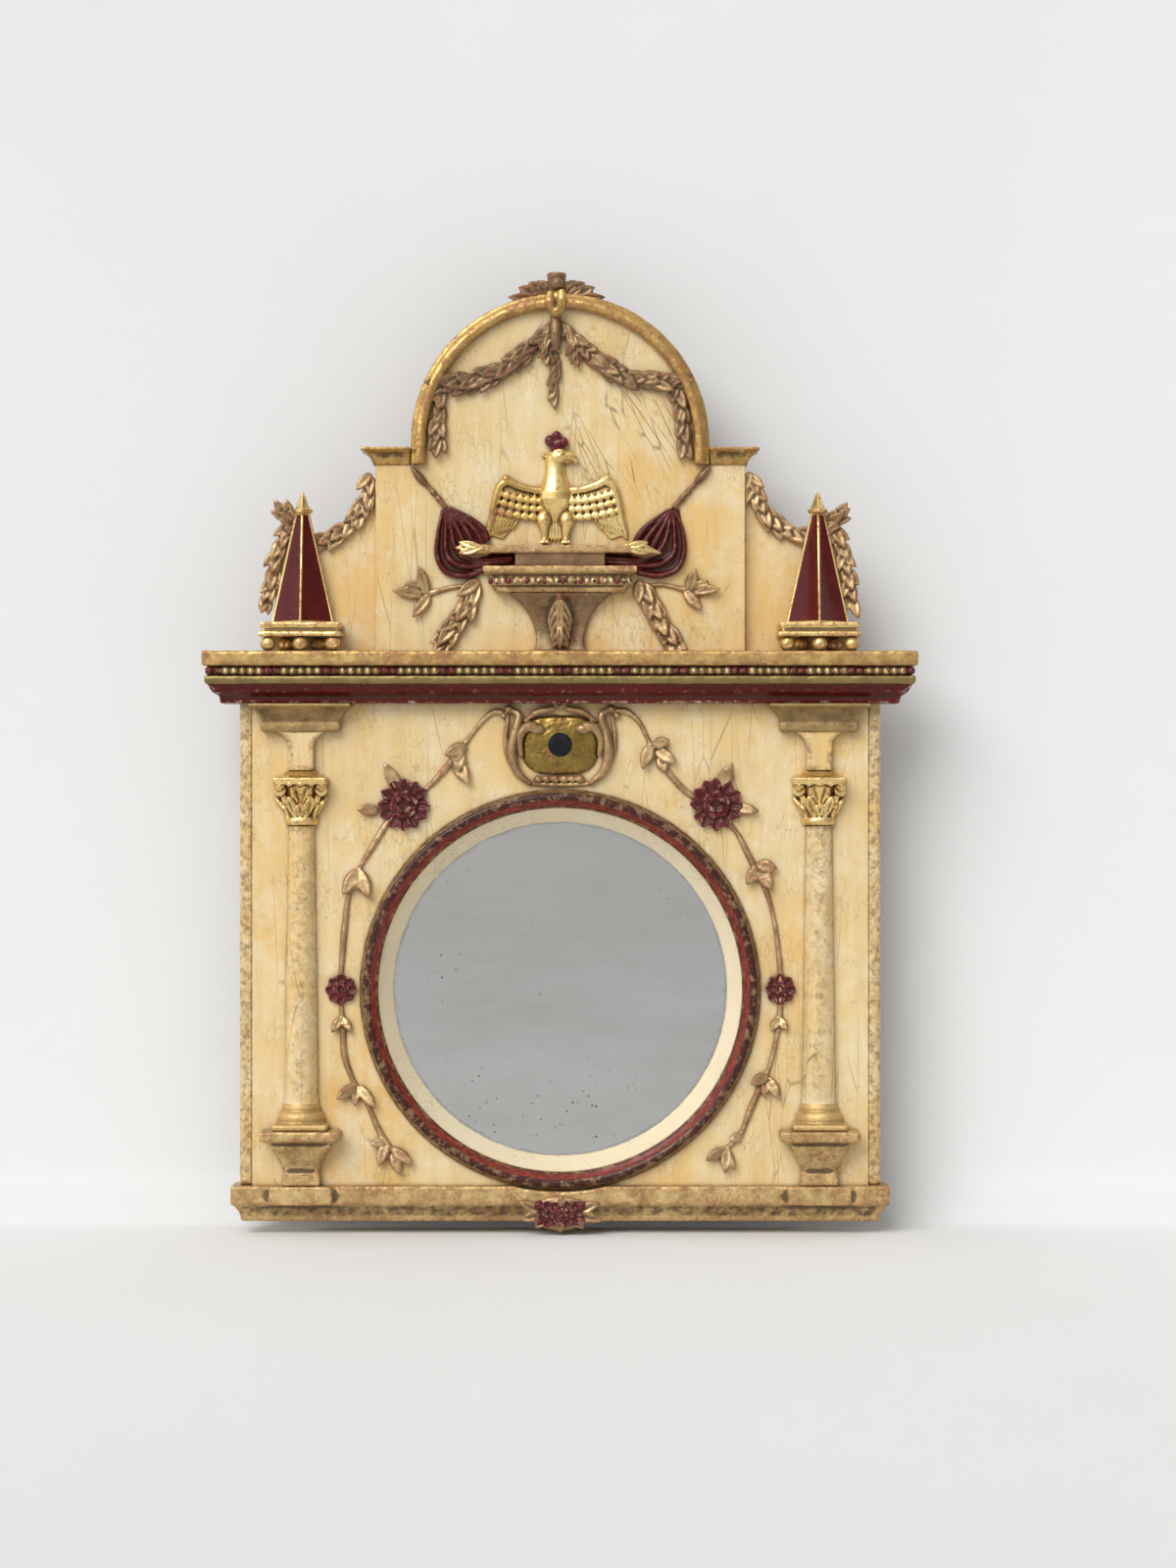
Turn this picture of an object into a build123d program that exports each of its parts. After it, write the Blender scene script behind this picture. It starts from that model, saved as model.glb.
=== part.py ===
from build123d import *
import math
import os

os.makedirs("parts", exist_ok=True)

# A carved and gilded wall mirror in the form of a temple front.
# Millimetres. X runs to the right, Z up from the top of the cornice shelf, and the wall is the plane Y = 0.
# Depths are measured forward from the wall, so a depth of 32 is the plane Y = -32.

# Boards and battens
BATTEN_T = 12.0
BOARD_T = 20.0
UPPER_T = 12.0
ARCH_PANEL_T = 8.0
PANEL_W = 452.0
PANEL_H = 365.0
STRIP_W = 9.0
STRIP_ROUND = 2.5
BATTEN_W = 360.0
UPPER_BATTEN_H = 56.0
LOWER_BATTEN_H = 30.0
LOWER_BATTEN_LAP = 10.0

# Cornice and base rail
SHELF_T = 10.5
CORNICE_OUT = 24.0
BEAD_H = 7.0
BEAD_PITCH = 5.8
BEAD_RISE = 3.0
BEAD_BACK_OUT = 18.5
BAND_OUT = 22.5
BAND_H = 5.5
CAVETTO_TOP_OUT = 20.0
CAVETTO_FOOT_OUT = 12.5
CAVETTO_H = 8.5
CAVETTO_FOOT_H = 5.0
RAIL_OUT = 8.0
RAIL_SIDE_OUT = 5.5
RAIL_FASCIA_H = 13.5
RAIL_FOOT_H = 12.0
RAIL_FOOT_IN = 7.0
RAIL_BLOCK_W = 44.0
RAIL_BLOCK_OUT = 3.0

# Round opening, mirror plate and its moulding
GLASS_Z = -238.0
SIGHT_R = 118.0
RING_IN_R = 128.0
RING_OUT_R = 141.5
RING_FILLET_W = 2.5
RING_FILLET_H = 3.0
RING_BEVEL_W = 4.5
RING_RISE = 8.0
REBATE_D = 8.0
REBATE_R = 124.0
GLASS_T = 3.0
GLASS_GAP = 0.5
BACKBOARD_T = 3.0
BRAD_COUNT = 8
BRAD_SIDE = 1.6
BRAD_IN = 4.0
BRAD_OVER = 6.0

# Arch, wings and shoulders
ARCH_Z = 147.0
ARCH_IN_R = 94.0
ARCH_OUT_R = 105.0
ARCH_RISE = 8.0
ARCH_EDGE = 1.0
ARCH_FILLET_W = 2.5
SHOULDER_Z = 131.5
ARCH_PANEL_W = 260.0
EAR_H = 12.0
EAR_OUT = 10.5
WING_X = 207.0
WING_TOP_X = 193.0
WING_TOP_Z = 92.0
WING_NECK_X = 172.0
WING_NECK_Z = 83.0
WING_JOIN_Z = 126.0
WING_HOLLOW_R = 62.0

# Columns
COLUMN_X = 182.0
BRACKET_FOOT_W = 54.0
BRACKET_FLARE = 9.0
BRACKET_H = 14.0
BRACKET_BAND_H = 6.0
BRACKET_FOOT_OUT = 9.0
IMPOST_W = 17.5
IMPOST_FLARE_W = 34.0
IMPOST_H = 27.0
IMPOST_OUT = 8.0
ABACUS_W = 38.0
ABACUS_H = 5.0
ABACUS_OUT = 15.0
NECKING_H = 5.0
CAPITAL_TOP_W = 33.0
CAPITAL_FOOT_W = 19.5
CAPITAL_H = 23.0
ASTRAGAL_W = 22.5
ASTRAGAL_H = 5.5
VOLUTE_R = 4.2
VOLUTE_T = 11.0
SHAFT_TOP_W = 18.5
SHAFT_FOOT_W = 24.0
TORUS_W = 27.0
TORUS_H = 5.5
BASE_W = 34.0
BASE_H = 8.0
PLINTH_W = 38.5
PLINTH_H = 4.5
PEDESTAL_H = 39.5
PEDESTAL_SLAB_H = 9.0
PEDESTAL_FLARE = 9.0
PEDESTAL_FOOT_W = 24.0
PEDESTAL_FOOT_OUT = 7.0
PEDESTAL_FOOT_H = 9.0

# Console, eagle and plinth
CONSOLE_Z = 59.5
CONSOLE_W = 108.0
CONSOLE_SHELF_T = 6.3
CONSOLE_OUT = 20.0
CONSOLE_BEAD_H = 7.0
CONSOLE_BEAD_OUT = 15.0
CONSOLE_BEAD_PITCH = 5.4
CONSOLE_BEAD_RISE = 2.5
CONSOLE_BAND_H = 5.0
CONSOLE_BAND_OUT = 13.0
CONSOLE_TOP_W = 74.0
CONSOLE_WAIST_W = 33.0
CONSOLE_WAIST_OUT = 7.0
CONSOLE_FOOT_W = 37.0
CONSOLE_FOOT_H = 6.0
CONSOLE_HOLLOW_R = 42.0
CONSOLE_LEAF_W = 15.0
PLINTH_BLOCK_W = 63.0
PLINTH_BLOCK_H = 9.5
PLINTH_BLOCK_OUT = 12.0
PLINTH_SLAB_W = 100.0
PLINTH_SLAB_H = 5.2
PLINTH_SLAB_OUT = 14.0
PLINTH_TIP = 26.0
PLINTH_TIP_W = 10.0
EAGLE_X = -3.0
EAGLE_BODY_W = 25.0
EAGLE_HEAD_W = 15.0
EAGLE_TOP_Z = 143.5
EAGLE_BEAK_T = 5.0
EAGLE_LEG_X = 8.0
EAGLE_LEG_W = 3.6
EAGLE_TOE_H = 3.5
EAGLE_THIGH_R = 4.6
EAGLE_WING_T = 4.0
FEATHER = 27.0
FEATHER_W = 6.5
FEATHERS = ((40, 29, 22), (35, 28, 20), (30, 27, 17), (25, 26, 14))
WRIST_R = 2.8
BERRY_R = 3.3
FLAG_T = 5.0
FLAG_POLE_W = 3.6
FLAG_FOLD_W = 7.0
FLAG_FOLDS = ((44, -2), (52, 6), (50, 18), (46, 30), (40, 42))
SPEAR = 23.0
SPEAR_W = 7.0

# Leaf work
LEAF_T = 4.5
LEAF_EDGE = 1.4
SWAG_LEAF = 17.0
SWAG_LEAF_W = 7.0
SWAG_SPINE_T = 6.0
SWAG_ROWS = 8
DROP_ROWS = 4
GARLAND_ROWS = 13
PENDANT_LEAF = 12.0
PENDANT_LEAF_W = 5.0
PENDANT_ROWS = 5
LAUREL_LEAF = 17.0
LAUREL_LEAF_W = 8.0
LAUREL_ROWS = 4
LAUREL_SPRAY = ((25, 84), (15, 48), (22, 165))
STEM_W = 3.6
STEM_T = 3.0
VINE_LEAF = 16.0
VINE_LEAF_W = 8.5
VINE_STEM = (
    (33, -44),
    (48, -44),
    (66, -67),
    (89, -95),
    (110, -107),
    (127, -131),
    (142, -156),
    (150, -184),
    (154, -220),
    (154, -265),
    (149, -295),
    (138, -320),
    (127, -340),
    (112, -352),
)
VINE_LEAVES = (
    (66, -67, -100, 1.0),
    (68, -70, -20, 1.1),
    (111, -106, 62, 2.0),
    (111, -106, 8, 2.0),
    (142, -152, -150, 1.1),
    (142, -152, -30, 1.0),
    (153, -214, 60, 0.7),
    (154, -262, -120, 0.7),
    (140, -316, -170, 1.0),
    (140, -316, -60, 1.1),
    (114, -350, -160, 1.0),
    (115, -348, -80, 1.3),
)
LARGE_FLOWER_R = 18.5
LARGE_PETALS = 12
SMALL_FLOWER_R = 11.0
SMALL_PETALS = 9
FLOWER_T = 9.0

# Obelisks
OBELISK_X = 181.5
OBELISK_W = 45.0
OBELISK_H = 78.0
OBELISK_OUT = 20.0
OBELISK_BACK = 7.0
OBELISK_TOP_W = 10.0
OBELISK_TIP_H = 15.0
OBELISK_BORDER = 2.4
OBELISK_SUNK = 0.8
OBELISK_SLAB_W = 58.0
OBELISK_SLAB_FLARE = 3.0
OBELISK_SLAB_H = 10.0
FOOT_R = 5.4
FOOT_H = 10.0

# Crest
CREST_BACK = 6.0
CREST_T = 9.0
CREST_CUP_W = 14.0
CREST_CUP_H = 15.0
CREST_BALL_R = 4.2
CREST_SEAT = 0.7
CLASP_W = 13.0
CLASP_H = 17.0
CLASP_T = 5.0

# Cartouche and base roses
CARTOUCHE_Z = -65.5
SHIELD_W = 51.0
SHIELD_H = 43.0
SHIELD_T = 5.0
DISC_R = 8.4
DISC_T = 2.5
DISC_SUNK = 1.5
SCROLL_W = 5.5
SCROLL_T = 7.0
SCROLL_ENDS = ((20, 12), (30, 15), (22, -25))
ROSE_R = 10.5
ROSE_GAP = 13.5
ROSE_DROP = 10.0
ROSE_T = 7.0
ROSE_LEAF = 15.0
ROSE_LEAVES = ((-1, 2, 172), (-1, 8, 145), (1, 2, 4), (1, 8, 30), (0, 6, 90))

# Hanging ring and staple
HANGER_Z = 173.0
HANGER_DEPTH = 6.5
RING_WIRE_R = 1.6
HANGING_RING_R = 13.0
STAPLE_WIRE_R = 1.25
STAPLE_BEND_R = 3.5
STAPLE_IN = 8.0

# Nails through the battens
NAIL_HEAD = 4.4
NAIL_HEAD_T = 1.2
NAIL_SHANK = 2.0
NAIL_IN = 8.0
NAIL_XS = (-150.0, -75.0, 75.0, 150.0)
NAIL_EDGE = 12.0

# Planes and levels that follow from the sizes above
PANEL_FRONT = BATTEN_T + BOARD_T
WING_FRONT = BATTEN_T + UPPER_T
ARCH_FRONT = WING_FRONT + ARCH_PANEL_T
PANEL_TOP = -SHELF_T
PANEL_FOOT = PANEL_TOP - PANEL_H
BEAD_FOOT = PANEL_TOP - BEAD_H
BAND_FOOT = BEAD_FOOT - BAND_H
CAVETTO_FOOT = BAND_FOOT - CAVETTO_H
CORNICE_FOOT = CAVETTO_FOOT - CAVETTO_FOOT_H
RAIL_FASCIA_FOOT = PANEL_FOOT - RAIL_FASCIA_H
RAIL_FOOT = RAIL_FASCIA_FOOT - RAIL_FOOT_H
SIDES = ((-1, "left"), (1, "right"))


def front(depth):
    """The upright plane this far in front of the wall, seen from the front."""
    return Plane.XZ.offset(depth)


def upright(x, depth):
    """The same plane, with its origin moved across to x."""
    return Plane(origin=(x, -depth, 0), x_dir=(1, 0, 0), z_dir=(0, -1, 0))


def place(x, z, turn=0, lift=0):
    """A place on a front plane: across, up, turned in the plane and lifted off it."""
    return Location((x, z, lift), (0, 0, turn))


def on(depth, places):
    """Places on the front plane at this depth."""
    return [front(depth).location * spot for spot in places]


def behind(depth):
    """A block that fills everything between the wall and this depth, to cut half-round pieces flat."""
    with BuildPart() as block:
        with BuildSketch(front(depth - BOARD_T)):
            Rectangle(2 * PANEL_W, 3 * PANEL_W)
        extrude(amount=BOARD_T)
    return block.part


def leaf(length, width, rise=LEAF_T, edge=LEAF_EDGE):
    """A pointed leaf that lies along +X with a ridge down its middle."""
    with BuildPart() as blade:
        with BuildSketch():
            with BuildLine():
                Polyline(
                    (0, 0.16 * width),
                    (0.22 * length, 0.4 * width),
                    (0.55 * length, 0.5 * width),
                    (length, 0),
                    (0.55 * length, -0.5 * width),
                    (0.22 * length, -0.4 * width),
                    (0, -0.16 * width),
                    close=True,
                )
            make_face()
        extrude(amount=rise)
        with BuildSketch(Plane.YZ):
            with BuildLine():
                Polyline(
                    (-width / 2, 0),
                    (-width / 2, edge),
                    (0, rise),
                    (width / 2, edge),
                    (width / 2, 0),
                    close=True,
                )
            make_face()
        extrude(amount=length, mode=Mode.INTERSECT)
    return blade.part


def along(line, count, turns):
    """Places at even steps along a line, each turned from the line's own heading by every angle given."""
    places = []
    for i in range(count):
        at = line @ (i / count)
        heading = line % (i / count)
        angle = math.degrees(math.atan2(heading.Y, heading.X))
        for turn in turns:
            places.append(place(at.X, at.Y, angle + turn))
    return places


def stem(points, width=STEM_W, rise=STEM_T):
    """A stem along straight runs with round joints, laid flat on the plane."""
    with BuildPart() as rod:
        with BuildSketch():
            for (x1, z1), (x2, z2) in zip(points, points[1:]):
                length = math.hypot(x2 - x1, z2 - z1)
                angle = math.degrees(math.atan2(z2 - z1, x2 - x1))
                with Locations(place((x1 + x2) / 2, (z1 + z2) / 2, angle)):
                    Rectangle(length, width)
            with Locations(points):
                Circle(width / 2)
        extrude(amount=rise)
    return rod.part


def flower(radius, petals, rise=FLOWER_T):
    """An open flower: a ring of long petals, a ring of short ones above it and a round heart."""
    petal = leaf(radius, 2.0 * math.pi * radius * 0.75 / petals, 0.6 * rise, 0.3 * rise)
    inner = leaf(0.62 * radius, 2.0 * math.pi * radius * 0.5 / petals, 0.8 * rise, 0.55 * rise)
    with BuildPart() as bloom:
        with BuildSketch():
            RegularPolygon(0.72 * radius, petals)
        extrude(amount=0.4 * rise, taper=10)
        with PolarLocations(0, petals):
            add(petal)
        with PolarLocations(0, petals, start_angle=180 / petals):
            add(inner)
        with BuildSketch():
            RegularPolygon(0.3 * radius, 8)
        extrude(amount=rise, taper=15)
    return bloom.part


# Main board, with the bevelled round opening and the rebate behind it
with BuildPart() as main_board:
    with BuildSketch(front(BATTEN_T)):
        with Locations((0, PANEL_TOP - PANEL_H / 2)):
            Rectangle(PANEL_W - 2 * STRIP_W, PANEL_H)
    extrude(amount=BOARD_T)
    with BuildSketch(front(BATTEN_T)):
        with Locations((0, GLASS_Z)):
            Circle(REBATE_R)
    extrude(amount=REBATE_D, mode=Mode.SUBTRACT)
    with BuildSketch(front(BATTEN_T + REBATE_D)):
        with Locations((0, GLASS_Z)):
            Circle(SIGHT_R)
    with BuildSketch(front(PANEL_FRONT)):
        with Locations((0, GLASS_Z)):
            Circle(RING_IN_R)
    loft(mode=Mode.SUBTRACT)

# Edge strips down both sides of the main board
for side, word in SIDES:
    with BuildPart() as edge_strip:
        with BuildSketch(front(BATTEN_T)):
            with Locations((side * (PANEL_W - STRIP_W) / 2, PANEL_TOP - PANEL_H / 2)):
                Rectangle(STRIP_W, PANEL_H)
        extrude(amount=BOARD_T)
        front_edges = edge_strip.edges().filter_by(Axis.Z).group_by(Axis.Y)[0].sort_by(Axis.X)
        chamfer(front_edges[0] if side < 0 else front_edges[-1], STRIP_ROUND)
    edge_strip.part.label = "edge_strip_" + word
    export_step(edge_strip.part, "parts/edge_strip_" + word + ".step")

# Cornice shelf, which lies on the main board and carries the upper board
with BuildPart() as cornice_shelf:
    with BuildSketch(Plane.XY):
        with Locations((0, -(BATTEN_T + PANEL_FRONT + CORNICE_OUT) / 2)):
            Rectangle(PANEL_W + 2 * CORNICE_OUT, PANEL_FRONT + CORNICE_OUT - BATTEN_T)
    extrude(amount=-SHELF_T)
    nose = cornice_shelf.edges().filter_by(Axis.X).group_by(Axis.Y)[0]
    chamfer(nose, 0.8)
cornice_shelf.part.label = "cornice_shelf"
export_step(cornice_shelf.part, "parts/cornice_shelf.step")


def moulding_block(points, half_width, depth, back):
    """A moulded block with mitred returns, from (out, height) points; a third value bends a line to a radius."""
    with BuildPart() as block:
        with BuildSketch(front(back)):
            with BuildLine():
                outline(points, half_width, 1)
                outline(points, -half_width, -1)
                Line((-half_width - points[0][0], points[0][1]), (half_width + points[0][0], points[0][1]))
                Line((-half_width - points[-1][0], points[-1][1]), (half_width + points[-1][0], points[-1][1]))
            make_face()
        extrude(amount=depth + 60)
        with BuildSketch(Plane.YZ):
            with BuildLine():
                outline(points, -depth, -1)
                Line((-depth - points[0][0], points[0][1]), (-back, points[0][1]))
                Line((-back, points[0][1]), (-back, points[-1][1]))
                Line((-back, points[-1][1]), (-depth - points[-1][0], points[-1][1]))
            make_face()
        extrude(amount=half_width + 60, both=True, mode=Mode.INTERSECT)
    return block.part


def outline(points, shift, side):
    """The moulding's own profile, drawn outward from shift on the side given."""
    for start, end in zip(points, points[1:]):
        first = (shift + side * start[0], start[1])
        last = (shift + side * end[0], end[1])
        if len(end) == 3:
            RadiusArc(first, last, side * end[2])
        else:
            Line(first, last)


# Course of square beads under the shelf, on its own backing strip
front_beads = 2 * math.floor((PANEL_W / 2 + BEAD_BACK_OUT) / BEAD_PITCH) - 1
side_beads = math.floor((PANEL_FRONT + BEAD_BACK_OUT - BATTEN_T) / BEAD_PITCH)
bead_z = (PANEL_TOP + BEAD_FOOT) / 2
bead_side = 0.82 * BEAD_PITCH
bead_profile = [(BEAD_BACK_OUT, PANEL_TOP), (BEAD_BACK_OUT, BEAD_FOOT)]
with BuildPart() as cornice_beads:
    add(moulding_block(bead_profile, PANEL_W / 2, PANEL_FRONT, BATTEN_T))
    with BuildSketch(front(PANEL_FRONT + BEAD_BACK_OUT)):
        with Locations((0, bead_z)):
            with GridLocations(BEAD_PITCH, 1, front_beads, 1):
                Rectangle(bead_side, bead_side)
    extrude(amount=BEAD_RISE, taper=22)
    for side, word in SIDES:
        side_plane = Plane(
            origin=(side * (PANEL_W / 2 + BEAD_BACK_OUT), -PANEL_FRONT - BEAD_BACK_OUT, bead_z),
            x_dir=(0, 1, 0),
            z_dir=(side, 0, 0),
        )
        with BuildSketch(side_plane):
            with Locations((side_beads * BEAD_PITCH / 2, 0)):
                with GridLocations(BEAD_PITCH, 1, side_beads, 1):
                    Rectangle(bead_side, bead_side)
        extrude(amount=BEAD_RISE, taper=22)
    with BuildSketch(Plane.XY.offset(PANEL_TOP)):
        with Locations((0, -(BATTEN_T + PANEL_FRONT) / 2)):
            Rectangle(PANEL_W, PANEL_FRONT - BATTEN_T)
    extrude(amount=-BEAD_H, mode=Mode.SUBTRACT)
cornice_beads.part.label = "cornice_beads"
export_step(cornice_beads.part, "parts/cornice_beads.step")

# Gilt band and burgundy hollow moulding, mitred round the sides
cavetto_profile = [
    (BAND_OUT, BEAD_FOOT),
    (BAND_OUT, BAND_FOOT),
    (CAVETTO_TOP_OUT, BAND_FOOT),
    (CAVETTO_FOOT_OUT, CAVETTO_FOOT, 1.25 * CAVETTO_H),
    (CAVETTO_FOOT_OUT, CORNICE_FOOT),
]
with BuildPart() as cornice_cavetto:
    add(moulding_block(cavetto_profile, PANEL_W / 2, PANEL_FRONT, BATTEN_T))
    with BuildSketch(Plane.XY.offset(BEAD_FOOT)):
        with Locations((0, -(BATTEN_T + PANEL_FRONT) / 2)):
            Rectangle(PANEL_W, PANEL_FRONT - BATTEN_T)
    extrude(amount=CORNICE_FOOT - BEAD_FOOT, mode=Mode.SUBTRACT)
cornice_cavetto.part.label = "cornice_cavetto"
export_step(cornice_cavetto.part, "parts/cornice_cavetto.step")

# Base rail under the main board, with a block under each column and a seat for the round moulding
rail_profile = [
    (RAIL_SIDE_OUT, PANEL_FOOT),
    (RAIL_SIDE_OUT, RAIL_FASCIA_FOOT),
    (RAIL_SIDE_OUT - 1.5, RAIL_FASCIA_FOOT),
    (RAIL_SIDE_OUT - RAIL_FOOT_IN, RAIL_FOOT, -1.6 * RAIL_FOOT_H),
]
with BuildPart() as base_rail:
    add(moulding_block(rail_profile, PANEL_W / 2, PANEL_FRONT + RAIL_OUT - RAIL_SIDE_OUT, BATTEN_T))
    with BuildSketch(Plane.XY.offset(PANEL_FOOT)):
        with Locations(
            (-COLUMN_X, -PANEL_FRONT - RAIL_OUT - RAIL_BLOCK_OUT / 2),
            (COLUMN_X, -PANEL_FRONT - RAIL_OUT - RAIL_BLOCK_OUT / 2),
        ):
            Rectangle(RAIL_BLOCK_W, RAIL_BLOCK_OUT)
    extrude(amount=-RAIL_FASCIA_H)
    with BuildSketch(front(PANEL_FRONT)):
        with Locations((0, GLASS_Z)):
            Circle(RING_OUT_R)
    extrude(amount=RAIL_OUT + RAIL_BLOCK_OUT, mode=Mode.SUBTRACT)

# Round moulding of the mirror: thin outer fillet, half round and inner bevel
ring_mid_r = (RING_IN_R + RING_BEVEL_W + RING_OUT_R - RING_FILLET_W) / 2
with BuildPart() as mirror_ring:
    with BuildSketch(Plane(origin=(0, -PANEL_FRONT, GLASS_Z), x_dir=(1, 0, 0), z_dir=(0, 0, 1))):
        with BuildLine():
            Line((RING_IN_R, 0), (RING_OUT_R, 0))
            Line((RING_OUT_R, 0), (RING_OUT_R, -RING_FILLET_H))
            Line((RING_OUT_R, -RING_FILLET_H), (RING_OUT_R - RING_FILLET_W, -RING_FILLET_H))
            ThreePointArc(
                (RING_OUT_R - RING_FILLET_W, -RING_FILLET_H),
                (ring_mid_r, -RING_RISE),
                (RING_IN_R + RING_BEVEL_W, -0.75 * RING_RISE),
            )
            Line((RING_IN_R + RING_BEVEL_W, -0.75 * RING_RISE), (RING_IN_R, -RING_FILLET_H))
            Line((RING_IN_R, -RING_FILLET_H), (RING_IN_R, 0))
        make_face()
    revolve(axis=Axis((0, 0, GLASS_Z), (0, -1, 0)))
mirror_ring.part.label = "mirror_ring"
export_step(mirror_ring.part, "parts/mirror_ring.step")

# Mirror plate and its thin backboard, both a little smaller than the rebate
glass_depth = BATTEN_T + REBATE_D - GLASS_T
backboard_depth = glass_depth - BACKBOARD_T
with BuildPart() as mirror_glass:
    with BuildSketch(front(glass_depth)):
        with Locations((0, GLASS_Z)):
            Circle(REBATE_R - GLASS_GAP)
    extrude(amount=GLASS_T)
mirror_glass.part.label = "mirror_glass"
export_step(mirror_glass.part, "parts/mirror_glass.step")

with BuildPart() as mirror_backboard:
    with BuildSketch(front(backboard_depth)):
        with Locations((0, GLASS_Z)):
            Circle(REBATE_R - GLASS_GAP)
    extrude(amount=BACKBOARD_T)
mirror_backboard.part.label = "mirror_backboard"
export_step(mirror_backboard.part, "parts/mirror_backboard.step")

# Square brads pushed into the rebate's wall over the backboard
with BuildPart() as glass_brads:
    with BuildSketch(front(backboard_depth - BRAD_SIDE)):
        with Locations((0, GLASS_Z)):
            with PolarLocations(REBATE_R + (BRAD_IN - BRAD_OVER) / 2, BRAD_COUNT, start_angle=22.5):
                Rectangle(BRAD_IN + BRAD_OVER, BRAD_SIDE)
    extrude(amount=BRAD_SIDE)
glass_brads.part.label = "glass_brads"
export_step(glass_brads.part, "parts/glass_brads.step")

# Upper board with its two low wings, standing on the shelf
with BuildPart() as upper_board:
    with BuildSketch(front(BATTEN_T)):
        with BuildLine():
            for side, word in SIDES:
                Polyline(
                    (0, 0),
                    (side * WING_X, 0),
                    (side * WING_TOP_X, WING_TOP_Z),
                    (side * WING_NECK_X, WING_NECK_Z),
                )
                RadiusArc(
                    (side * WING_NECK_X, WING_NECK_Z),
                    (side * ARCH_PANEL_W / 2, WING_JOIN_Z),
                    side * WING_HOLLOW_R,
                )
                Polyline(
                    (side * ARCH_PANEL_W / 2, WING_JOIN_Z),
                    (side * ARCH_PANEL_W / 2, SHOULDER_Z),
                    (side * (ARCH_OUT_R - ARCH_EDGE), SHOULDER_Z),
                    (side * (ARCH_OUT_R - ARCH_EDGE), ARCH_Z),
                )
            ThreePointArc(
                (-ARCH_OUT_R + ARCH_EDGE, ARCH_Z),
                (0, ARCH_Z + ARCH_OUT_R - ARCH_EDGE),
                (ARCH_OUT_R - ARCH_EDGE, ARCH_Z),
            )
        make_face()
    extrude(amount=UPPER_T)

# Raised centre panel in front of it
with BuildPart() as arch_panel:
    with BuildSketch(front(WING_FRONT)):
        with Locations((0, SHOULDER_Z / 2)):
            Rectangle(ARCH_PANEL_W, SHOULDER_Z)
        with Locations((0, (SHOULDER_Z + ARCH_Z) / 2)):
            Rectangle(2 * (ARCH_OUT_R - ARCH_EDGE), ARCH_Z - SHOULDER_Z)
        with Locations((0, ARCH_Z)):
            Circle(ARCH_OUT_R - ARCH_EDGE)
    extrude(amount=ARCH_PANEL_T)
arch_panel.part.label = "arch_panel"
export_step(arch_panel.part, "parts/arch_panel.step")

# Battens across the back
lower_batten_top = PANEL_FOOT + LOWER_BATTEN_LAP
with BuildPart() as upper_batten:
    with BuildSketch(front(0)):
        Rectangle(BATTEN_W, UPPER_BATTEN_H)
    extrude(amount=BATTEN_T)
with BuildPart() as lower_batten:
    with BuildSketch(front(0)):
        with Locations((0, lower_batten_top - LOWER_BATTEN_H / 2)):
            Rectangle(BATTEN_W, LOWER_BATTEN_H)
    extrude(amount=BATTEN_T)

# Square nails: two rows through each batten, one row into each piece that it joins
nail_places = []
for x in NAIL_XS:
    nail_places.append((x, UPPER_BATTEN_H / 2 - NAIL_EDGE))
    nail_places.append((x, NAIL_EDGE / 2 - UPPER_BATTEN_H / 2))
    nail_places.append((x, lower_batten_top - LOWER_BATTEN_LAP / 2))
    nail_places.append((x, lower_batten_top - LOWER_BATTEN_H + NAIL_EDGE / 2))
with BuildPart() as batten_nails:
    with BuildSketch(front(0)):
        with Locations(nail_places):
            Rectangle(NAIL_HEAD, NAIL_HEAD)
    extrude(amount=NAIL_HEAD_T)
    with BuildSketch(front(0)):
        with Locations(nail_places):
            Rectangle(NAIL_SHANK, NAIL_SHANK)
    extrude(amount=BATTEN_T + NAIL_IN)
batten_nails.part.label = "batten_nails"
export_step(batten_nails.part, "parts/batten_nails.step")

# Iron staple, driven into the upper board, with a round eye behind it
with BuildPart() as hanger_staple:
    with BuildLine() as staple_line:
        Line(
            (0, -BATTEN_T - STAPLE_IN, HANGER_Z + STAPLE_BEND_R),
            (0, -HANGER_DEPTH, HANGER_Z + STAPLE_BEND_R),
        )
        ThreePointArc(
            (0, -HANGER_DEPTH, HANGER_Z + STAPLE_BEND_R),
            (0, -HANGER_DEPTH + STAPLE_BEND_R, HANGER_Z),
            (0, -HANGER_DEPTH, HANGER_Z - STAPLE_BEND_R),
        )
        Line(
            (0, -HANGER_DEPTH, HANGER_Z - STAPLE_BEND_R),
            (0, -BATTEN_T - STAPLE_IN, HANGER_Z - STAPLE_BEND_R),
        )
    with BuildSketch(Plane(origin=(0, -BATTEN_T - STAPLE_IN, HANGER_Z + STAPLE_BEND_R), z_dir=(0, 1, 0))):
        Circle(STAPLE_WIRE_R)
    sweep(path=staple_line.line)
hanger_staple.part.label = "hanger_staple"
export_step(hanger_staple.part, "parts/hanger_staple.step")

# Iron ring that hangs in the staple's eye
with BuildPart() as hanger_ring:
    with BuildSketch(Plane(origin=(0, -HANGER_DEPTH, HANGER_Z), x_dir=(0, 1, 0), z_dir=(1, 0, 0))):
        Circle(RING_WIRE_R)
    revolve(axis=Axis((0, -HANGER_DEPTH, HANGER_Z - HANGING_RING_R), (0, 1, 0)))
hanger_ring.part.label = "hanger_ring"
export_step(hanger_ring.part, "parts/hanger_ring.step")

# The boards and the rail are pierced by their nails, brads and staple
with BuildPart() as pierced_board:
    add(main_board.part)
    add(glass_brads.part, mode=Mode.SUBTRACT)
    add(batten_nails.part, mode=Mode.SUBTRACT)
pierced_board.part.label = "main_board"
export_step(pierced_board.part, "parts/main_board.step")

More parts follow.
